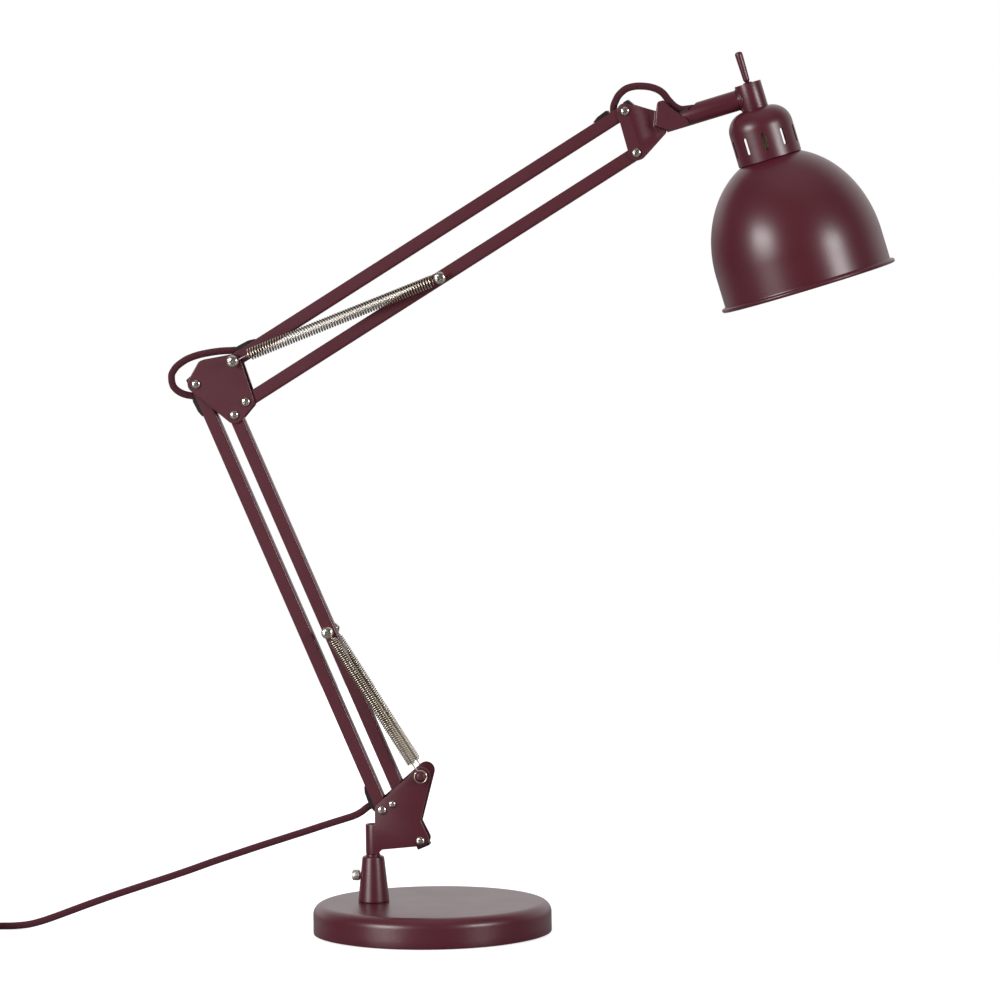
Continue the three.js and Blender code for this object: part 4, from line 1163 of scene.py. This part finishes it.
# %% Elbow plates
elbow_corner = (flat(lower_rear_top)[0] + 6, flat(lower_rear_top)[1] + 15)
elbow_outline = band(
    (flat(lower_rear_top), 7.3), (elbow_corner, 5), (flat(upper_top_foot), 5.2),
    (flat(upper_bottom_foot), 7.1), (flat(lower_front_top), 7.5),
)
for word, low, high in (("front", -SHEET_OUTER, -SHEET_INNER), ("rear", SHEET_INNER, SHEET_OUTER)):
    name = f"elbow_sheet_{word}"
    add_piece(name, sheet_mesh(name, [elbow_outline], WORLD, low, high), "elbow", "paint",
              f"elbow_{word}_plate")
print("elbow plates,", len(elbow_outline), "points round")

# %% [markdown]
# ## The head's fork and tube
# The fork is pressed sheet: flat where the bars are screwed to it, drawn in a little, and then stepped
# out along a slanted line to lap the sides of the tube. Each cheek is cut into a fine grid and then
# bent by a rule for how far every point stands from the middle plane.

# %% Press the cheeks and cut the tube
HEAD_MM = in_mm(HEAD)
to_head = HEAD_MM.inverted()


def in_head(point):
    local = to_head @ point
    return (local.x, local.z)


fork_top, fork_bottom = in_head(upper_top_end), in_head(upper_bottom_end)
LAP = 8.1


def smoothstep(low, high, value):
    t = min(1, max(0, (value - low) / (high - low)))
    return t * t * (3 - 2 * t)


def cheek_stand(x, z):
    """How far the inner face of a cheek stands from the middle plane, at a point of the head's own plane."""
    past_edge = x + 76.2 - 0.41 * (z - 15.2)
    above_foot = z + 0.6 + 0.643 * (x + 82.4)
    step = smoothstep(-1.3, 0, past_edge) * smoothstep(-1.3, 0, above_foot)
    drawn_in = smoothstep(-101, -84, x) * smoothstep(-20, -6, z) * (1 - step)
    return SHEET_INNER + (LAP - SHEET_INNER) * step - 4.0 * drawn_in


def cheek_mesh(side):
    ends = [(fork_top, 6.6), (fork_bottom, 6.6)]
    outlines = [
        band(*ends, ((-79, 7.5), 3), ((-79, -6.5), 3)),
        band(((-73, 15.2), 3), ((-83, -4), 3), ((-58, -4.6), 3), ((-62, -1), 3)),
    ]
    sheet = sheet_mesh("cheek", outlines, WORLD, 0, SHEET_OUTER - SHEET_INNER)
    bm = bmesh.new()
    bm.from_mesh(sheet)
    for axis, low, high, step in ((0, -125, -54, 0.65), (2, -50, 20, 1.0)):
        normal = Vector([1.0 if k == axis else 0.0 for k in range(3)])
        cut = low
        while cut < high:
            cut_at_plane(bm, normal * cut * MM, normal)
            cut += step
    for vert in bm.verts:
        x, z = vert.co.x / MM, vert.co.z / MM
        vert.co.y += cheek_stand(x, z) * MM
        vert.co.y *= side
    bm.transform(HEAD)
    return mesh_from(bm, "cheek", 35)


tube_section = rounded([(7, -75), (8.5, -75), (8.5, -11.2), (7, -11.2)], 0.25, 2, closed=True)
lying = HEAD_MM @ rotation(90, "Y")
tube = boolean(
    turned_mesh("tube", tube_section, lying, 72, closed=True), "DIFFERENCE",
    prism_mesh("mouth", [(-85, 4.2), (-52, 4.2), (-39, 12), (-85, 12)], HEAD_MM, -20, 20),
)
fork = joined_mesh("head_fork", tube, cheek_mesh(-1), cheek_mesh(1), sharp=32)
add_piece("head_fork", fork, "head", "paint", "head_bracket")
lip_outline = rounded(
    [(-70, 1.5), (-56.5, 1.5), (-52.6, 4.5), (-52.6, 6.2), (-56.5, 5.6), (-70, 3.8)], 0.6, 4, closed=True
)
groove_outline = [(0, -76), (3.3, -76), (3.3, -44), (0, -44)]
lip = boolean(
    prism_mesh("lip", lip_outline, HEAD_MM, -5.2, 5.2), "DIFFERENCE",
    turned_mesh("groove", groove_outline, lying @ shift(-6.6, 0, 0), 40),
)
add_piece("tube_lip", bevelled(lip, 0.35), "head", "rubber", "tube_grommet")
print("fork:", len(fork.polygons), "faces")

# %% [markdown]
# ## Collar, switch and shade
# The collar joins tube and shade, and the lever of the toggle switch stands up from it. Under it sit a
# cap with ten upright slots that let the heat out, and a spun dome with its rim rolled over. The slots
# are one cutter, repeated round the cap by the ring tree and taken out of it with a Boolean.

# %% Collar, switch body and lever
COLLAR_RADIUS, COLLAR_TOP, BOSS_RADIUS, LEVER_TOP = 11.15, 11.1, 8.6, 38.2
collar_profile = rounded(
    [(0, -11.0), (COLLAR_RADIUS, -11.0), (COLLAR_RADIUS, COLLAR_TOP), (9.5, COLLAR_TOP), (9.5, 10.0),
     (4.2, 10.0), (4.2, 8.8), (8.6, 8.8), (8.6, -8.6), (0, -8.6)],
    [0, 0.5, 0.45, 0.25, 0.3, 0.2, 0.1, 0.4, 0.4, 0], 4,
)
boss_profile = rounded([(4.4, -10.9), (8.5, -10.9), (8.5, -3), (4.4, -3)], [0, 0.3, 0, 0], 3, closed=True)
spigot_profile = [(4.3, -24), (6.4, -24), (6.7, -23.6), (6.7, -6), (4.3, -6)]
nipple_profile = [(3.4, -16.6), (4.8, -16.6), (4.8, -10), (3.4, -10)]
seam = [HEAD_MM @ Vector((-math.sqrt(COLLAR_RADIUS ** 2 - y * y) - 0.1, y, z))
        for y, z in (*circle((0, 0), BOSS_RADIUS, 96), (BOSS_RADIUS, 0))]
collar = joined_mesh(
    "shade_collar", turned_mesh("collar", collar_profile, HEAD_MM, 96),
    turned_mesh("boss", boss_profile, lying, 72, closed=True),
    turned_mesh("spigot", spigot_profile, lying, closed=True),
    turned_mesh("nipple", nipple_profile, HEAD_MM, 40, closed=True),
    swept_mesh("seam", seam, 0.75 * MM, 8),
)
add_piece("shade_collar", collar, "shade_head", "paint", "head_collar")
lever_profile = rounded(
    [(0, 8.2), (1.6, 8.7), (2.3, 9.9), (1.7, 11.9), (2.7, 14), (3.25, 35.7), (2.9, 37.3), (1.6, 38.0),
     (0, LEVER_TOP)],
    [0, 0.5, 0.8, 0.8, 1, 1, 0.8, 0.6, 0], 3,
)
turned_piece("toggle_lever", lever_profile, HEAD_MM, "toggle", "paint", "switch_lever", segments=48)
print("collar and lever", round(LEVER_TOP - COLLAR_TOP, 1), "mm above it")

# %% The vented cap
CAP_RADIUS, CAP_BOTTOM, CAP_SHOULDER, CAP_WALL, CAP_TOP = 26.8, -53.9, 16.7, 1.5, -10.6
SLOTS, SLOT_MIDDLE, SLOT_REACH, SLOT_RADIUS = 10, -38.9, 5.6, 1.65
inner_radius = CAP_RADIUS - CAP_WALL
shoulder_centre = (CAP_RADIUS - CAP_SHOULDER, CAP_TOP - CAP_SHOULDER)
cap_profile = (
    [(5.1, CAP_TOP)] + arc(shoulder_centre, CAP_SHOULDER, CAP_SHOULDER, 90, 0, 24)
    + rounded([(CAP_RADIUS, -30), (CAP_RADIUS, CAP_BOTTOM), (inner_radius, CAP_BOTTOM), (inner_radius, -30)],
              0.45, 4)[1:-1]
    + arc(shoulder_centre, CAP_SHOULDER - CAP_WALL, CAP_SHOULDER - CAP_WALL, 0, 90, 18)
    + [(5.1, CAP_TOP - CAP_WALL)]
)
slot_outline = band(*(((0, SLOT_MIDDLE + reach), SLOT_RADIUS) for reach in (-SLOT_REACH, SLOT_REACH)))
slot = prism_mesh("slot", slot_outline, IDENTITY, -CAP_RADIUS - 5, -CAP_RADIUS + 8)
cap = boolean(turned_mesh("cap", cap_profile, HEAD_MM, 120, closed=True), "DIFFERENCE",
              ring_of(slot, SLOTS, HEAD_MM, paint, first_angle=math.radians(5.9)))
cap = bevelled(cap, 0.25, 2, 60)
add_piece("vented_cap", cap, "shade_head", "paint", "shade_cap")
print("cap with", SLOTS, "slots,", len(cap.polygons), "faces")

# %% The spun dome
DOME_RADIUS, DOME_HEIGHT, DOME_WALL, BEAD, RIM = 71, 87.5, 1.2, 1.9, 74.35
DOME_CENTRE, DOME_STRAIGHT = -135.6, -161
neck = CAP_RADIUS - CAP_WALL - GAP
neck_height = CAP_BOTTOM - GAP
outer_start = math.degrees(math.asin((neck_height - DOME_CENTRE) / DOME_HEIGHT))
inner_start = math.degrees(math.asin((neck_height - DOME_WALL - DOME_CENTRE) / (DOME_HEIGHT - DOME_WALL)))
bead_centre = (RIM - BEAD, DOME_STRAIGHT - BEAD)
dome_profile = (
    [(neck, neck_height + 5), (neck, neck_height + 0.4)]
    + arc((0, DOME_CENTRE), DOME_RADIUS, DOME_HEIGHT, outer_start, 0, 56)
    + [(DOME_RADIUS, z) for z in (DOME_CENTRE - 12, DOME_STRAIGHT + 1.0, DOME_STRAIGHT + 0.5)]
    + arc(bead_centre, BEAD, BEAD, 125, -165, 22)
    + [(DOME_RADIUS - DOME_WALL, DOME_STRAIGHT - 0.6), (DOME_RADIUS - DOME_WALL, DOME_CENTRE - 12)]
    + arc((0, DOME_CENTRE), DOME_RADIUS - DOME_WALL, DOME_HEIGHT - DOME_WALL, 0, inner_start, 40)
    + [(neck - DOME_WALL, neck_height - DOME_WALL), (neck - DOME_WALL, neck_height + 5)]
)
turned_piece("spun_dome", dome_profile, HEAD_MM, "shade_head", "shade_paint", "shade",
             segments=192, closed=True, sharp=28)
print("dome", 2 * DOME_RADIUS, "mm across and", round(neck_height - DOME_STRAIGHT + 2 * BEAD, 1), "mm deep")

# %% Switch body
neck_turns = [(3.8 - 0.35 * (k % 2), 8.9 + 0.33 * k) for k in range(9)]
switch_profile = [(0, 5.7), (3.8, 5.7)] + neck_turns + [(3.5, 11.9), (2.9, 11.9), (2.6, 9.0), (0, 7.6)]
switch_box = prism_mesh("box", [(-5.2, -2.7), (5.2, -2.7), (5.2, 6.3), (-5.2, 6.3)], HEAD_MM, -4, 4)
switch = joined_mesh("switch_body", turned_mesh("neck", switch_profile, HEAD_MM), bevelled(switch_box, 0.6))
add_piece("switch_body", switch, "shade_head", "black_plastic", "switch_body")
print("switch body:", len(switch.polygons), "faces")

# %% [markdown]
# ## Lampholder and mains plug
# Both are moulded plastic with metal inside. The lampholder has a narrow terminal housing, a threaded
# skirt with the ring that grips the shade, and a plated screw shell open downwards. Its ring gets its
# grip ridges from the same tree as the clamp screw. The plug is the crossing of its plan and its side
# outline, with grip grooves cut across it, and its ridged strain relief is one turned profile.

# %% The lampholder
SKIRT, HOLDER_MOUTH, SHELL, GRIPS = 19.5, -78, 13.6, 36


def waves(radius, depth, start, end, pitch, points=6):
    """Radius and height down a screw thread seen from the side."""
    count = round(abs(end - start) / pitch * points)
    depths = (depth * (0.5 + 0.5 * math.cos(2 * math.pi * k / points)) for k in range(count + 1))
    return [(radius - deep, start + (end - start) * k / count) for k, deep in enumerate(depths)]


holder_profile = (
    rounded([(3.4, -16), (12.4, -16), (12.4, -45), (SKIRT - 0.4, -48), (SKIRT - 0.4, -50)],
            [0, 1.5, 3, 1.2, 0], 5)
    + waves(SKIRT, 0.8, -50.5, -74.5, 2.4)
    + [(SKIRT - 1, -75), (SKIRT - 1, HOLDER_MOUTH + 0.6), (SKIRT - 1.6, HOLDER_MOUTH),
       (SHELL + 0.6, HOLDER_MOUTH), (SHELL, HOLDER_MOUTH + 0.6), (SHELL, -53), (3.4, -53)]
)
ring_profile = rounded(
    [(SKIRT + 0.15, -58), (22.2, -58), (22.2, -66), (SKIRT + 0.15, -66)], 0.5, 3, closed=True
)
gland_profile = rounded([(3.2, -13.4), (6.5, -13.4), (6.5, -16.4), (3.2, -16.4)], 0.4, 3, closed=True)
grip = prism_mesh("grip", [(21.6, -65.2), (22.45, -64.8), (22.45, -59.2), (21.6, -58.8)], IDENTITY, -0.6, 0.6)
holder = joined_mesh(
    "lampholder", turned_mesh("skirt", holder_profile, HEAD_MM, 96, closed=True),
    turned_mesh("shade_ring", ring_profile, HEAD_MM, 96, closed=True),
    ring_of(grip, GRIPS, HEAD_MM, holder_plastic),
    turned_mesh("gland", gland_profile, HEAD_MM, closed=True),
)
add_piece("lampholder", holder, "shade_head", "lampholder_plastic", "lampholder")
shell_profile = waves(SHELL - 0.05, 0.9, -76.5, -54.5, 3.6, 8)
shell_profile = shell_profile + [(r - 0.35, z) for r, z in reversed(shell_profile)]
contact_profile = rounded(
    [(0, -52.9), (4.2, -52.9), (4.2, -54.5), (2.6, -56), (0, -56.2)], [0, 0.2, 0.5, 1, 0], 4
)
shell = joined_mesh("lampholder_shell", turned_mesh("shell", shell_profile, HEAD_MM, 72, closed=True),
                    turned_mesh("contact", contact_profile, HEAD_MM, 40))
add_piece("lampholder_shell", shell, "shade_head", "nickel", material=thread_brass)
print("lampholder:", len(holder.polygons), "faces")

# %% The mains plug
PLUG_LENGTH, PLUG_WIDTH, PLUG_THICK, RELIEF = 36, 35, 13.6, 22
PIN_RADIUS, PIN_LENGTH, PIN_SPACING = 2, 19, 18
plug_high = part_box("mains_plug")[1]
plug_centre = middle("mains_plug")
PLUG_AT = in_mm(shift(plug_high[0] - RELIEF * MM, plug_centre.y, plug_centre.z))
ALONG_PLUG = PLUG_AT @ rotation(90, "Y")
FLAT_PLUG = PLUG_AT @ rotation(90, "X")


def both_sides(x, offset, radius):
    return [((x, offset - radius), radius), ((x, radius - offset), radius)]


plug_plan = band(*both_sides(4 - PLUG_LENGTH, PLUG_WIDTH / 2, 4), *both_sides(-9, 8.6, 4), ((-3, 0), 4))
plug_side = band(*both_sides(2.5 - PLUG_LENGTH, PLUG_THICK / 2, 2.5), *both_sides(-5, 4.9, 1.5),
                 *both_sides(-1, 4.1, 1.5))
plug_body = bevelled(boolean(
    prism_mesh("plan", plug_plan, FLAT_PLUG, -PLUG_THICK, PLUG_THICK), "INTERSECT",
    prism_mesh("side", plug_side, PLUG_AT, -PLUG_WIDTH, PLUG_WIDTH),
), 0.8, 3, 40)
grooves = []
for k in range(5):
    x = -24 + 3.4 * k
    height = 6.8 - 1.9 * (x + 33.5) / 28.5 + 0.45
    for side in (-1, 1):
        groove = PLUG_AT @ shift(x, 0, side * height) @ rotation(90, "X")
        grooves.append(turned_mesh("groove", [(0, -20), (1, -20), (1, 20), (0, 20)], groove, 20))
relief_profile = [(3.3, -1.5), (4.6, -1.5)] + [
    (4.6 - 0.032 * x - (0.55 if k % 2 else 0), x)
    for k in range(9) for x in (2.2 * k + 0.4, 2.2 * k + 2.2)
] + [(3.9, RELIEF), (3.3, RELIEF)]
strain_relief = turned_mesh("relief", relief_profile, ALONG_PLUG, 40, closed=True)
parts_of_plug = [boolean(plug_body, "DIFFERENCE", *grooves), bevelled(strain_relief, 0.15, 2)]
sleeve_profile = [(PIN_RADIUS - wall, z) for wall, z in ((0.4, -1), (0.1, -1), (0.1, 9.6), (0.4, 9.6))]
pin_profile = rounded(
    [(0, 0), (PIN_RADIUS - 0.3, 0), (PIN_RADIUS - 0.3, 9.4), (PIN_RADIUS, 9.8), (PIN_RADIUS, PIN_LENGTH),
     (0, PIN_LENGTH)], [0, 0, 0.1, 0.1, 1.5, 0], 5,
)
pins = []
for side in (-1, 1):
    pin_at = PLUG_AT @ shift(-PLUG_LENGTH, side * PIN_SPACING / 2, 0) @ rotation(-90, "Y")
    parts_of_plug.append(turned_mesh("pin_sleeve", sleeve_profile, pin_at, 32, closed=True))
    pins.append(turned_mesh("pin", pin_profile, pin_at, 32))
mains_plug = add_piece("mains_plug_body", joined_mesh("mains_plug", *parts_of_plug), "base",
                       "plug_plastic", "mains_plug")
plug_pins = add_piece("mains_plug_pins", joined_mesh("plug_pins", *pins), "base", "nickel")
print("mains plug:", len(mains_plug.data.polygons), "faces")

# %% [markdown]
# ## Table and light
# The lamp stands on a white sheet in front of a white backdrop. Tall soft lamps stand left and right in
# front of it, with a weaker one low on the left, and the rest of the room is dim. That is what gives
# satin paint its dark body with two soft highlights, and its pale tops and edges where it mirrors the
# backdrop. The sheet and the backdrop are brightened for the camera and in reflections only, so that
# they read as white without lighting the lamp.

# %% The sheet and the room
SHEET_SIDE, SHEET_WHITE, SHEET_LIFT = 3.6, 0.5, 0.7
LOSS_IN_MIRROR, GLOSS_IN_MIRROR, GLOW_IN_MIRROR = 0.65, 0.15, 0.35
DIM_SIDE, BACKDROP, CEILING = 0.1, 0.97, 0.5
ROOM_LIGHT, CEILING_LIGHT, LEFT_LIGHT = 0.18, 0.9, 0.5
WHITE = (1, 1, 1, 1)


def ray_masks(tree):
    """Whether the camera sees this, and whether a reflection or a transmitted ray does."""
    rays = add_node(tree, "ShaderNodeLightPath").outputs
    return rays["Is Camera Ray"], maths(tree, "MAXIMUM", rays["Is Glossy Ray"], rays["Is Transmission Ray"])


def white_sheet():
    material, tree, shader = new_material("white_sheet", {"Roughness": 0.3, "Emission Color": WHITE})
    place = add_node(tree, "ShaderNodeTexCoord").outputs["Object"]
    far = add_node(tree, "ShaderNodeVectorMath", {"Vector": place}, operation="LENGTH").outputs["Value"]
    seen, mirrored = ray_masks(tree)
    to_eye = ramp(tree, far, 0.4, 1.6, SHEET_LIFT, 1.0)
    in_mirror = ramp(tree, split_vector(tree, place)["Y"], 0.3, 1.7, 0.0, GLOW_IN_MIRROR)
    reflected = maths(tree, "MULTIPLY", mirrored, in_mirror)
    feed(tree, shader, {
        "Base Color": maths(tree, "MULTIPLY_ADD", mirrored, -LOSS_IN_MIRROR * SHEET_WHITE, SHEET_WHITE),
        "Specular IOR Level": maths(tree, "MULTIPLY", mirrored, GLOSS_IN_MIRROR),
        "Emission Strength": maths(tree, "MULTIPLY_ADD", seen, to_eye, reflected),
    })
    return material


floor_mesh = bpy.data.meshes.new("floor")
bm = bmesh.new()
bmesh.ops.create_grid(bm, x_segments=1, y_segments=1, size=SHEET_SIDE / 2)
bm.to_mesh(floor_mesh)
bm.free()
floor_mesh.materials.append(white_sheet())
new_object("floor", floor_mesh)

world = bpy.data.worlds.new("room")
scene.world = world
world.use_nodes = True
sky = world.node_tree
toward = split_vector(sky, add_node(sky, "ShaderNodeTexCoord").outputs["Generated"])
seen, mirrored = ray_masks(sky)
overhead = ramp(sky, toward["Z"], 0.7, 1.0, 0.0, CEILING)
behind = ramp(sky, toward["Y"], 0.12, 0.75, DIM_SIDE, BACKDROP)
above_sheet = ramp(sky, toward["Z"], -0.02, 0.13, 0.4, 1.0)
backdrop = maths(sky, "MAXIMUM", overhead, maths(sky, "MULTIPLY", behind, above_sheet))
unseen = maths(sky, "SUBTRACT", 1.0, maths(sky, "MAXIMUM", seen, mirrored))
above = maths(sky, "MAXIMUM", toward["Z"], 0.0)
left = maths(sky, "MAXIMUM", maths(sky, "MULTIPLY", toward["X"], -1.0), 0.0)
from_left = maths(sky, "MULTIPLY_ADD", left, LEFT_LIGHT, ROOM_LIGHT)
lighting = maths(sky, "MULTIPLY_ADD", above, CEILING_LIGHT, from_left)
level = maths(sky, "MULTIPLY_ADD", unseen, lighting, maths(sky, "MULTIPLY_ADD", mirrored, backdrop, seen))
feed(sky, sky.nodes["Background"], {"Strength": level, "Color": WHITE})


# %% Three soft lamps
LAMP_DISTANCE = 4.5


def soft_lamp(name, azimuth, bottom, top, width, power):
    """An upright soft lamp at an azimuth from the front, turned toward the middle of the object."""
    lamp = bpy.data.lights.new(name, "AREA")
    lamp.shape = "RECTANGLE"
    lamp.size, lamp.size_y, lamp.energy = width, top - bottom, power
    a = math.radians(azimuth)
    place = Vector((LAMP_DISTANCE * math.sin(a), -LAMP_DISTANCE * math.cos(a), (bottom + top) / 2))
    facing = Vector((-place.x, -place.y, 0)).to_track_quat("-Z", "Y").to_matrix().to_4x4()
    new_object(name, lamp).matrix_world = shift(*place) @ facing


soft_lamp("left_lamp", -39, 0.95, 2.1, 2.1, 136)
soft_lamp("left_low_lamp", -38, 0.0, 0.95, 2.0, 36)
soft_lamp("right_lamp", 55.5, 0.95, 2.1, 1.55, 112)
scene.view_settings.view_transform = "Standard"
print("stage and lamps set")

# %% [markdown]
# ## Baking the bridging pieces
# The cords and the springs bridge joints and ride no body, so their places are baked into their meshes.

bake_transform(lead_start)
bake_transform(lead)
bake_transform(elbow_low)
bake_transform(elbow_high)
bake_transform(head_loop)
for spring, arm, coil_start, coil_end in spring_blends:
    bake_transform(spring)
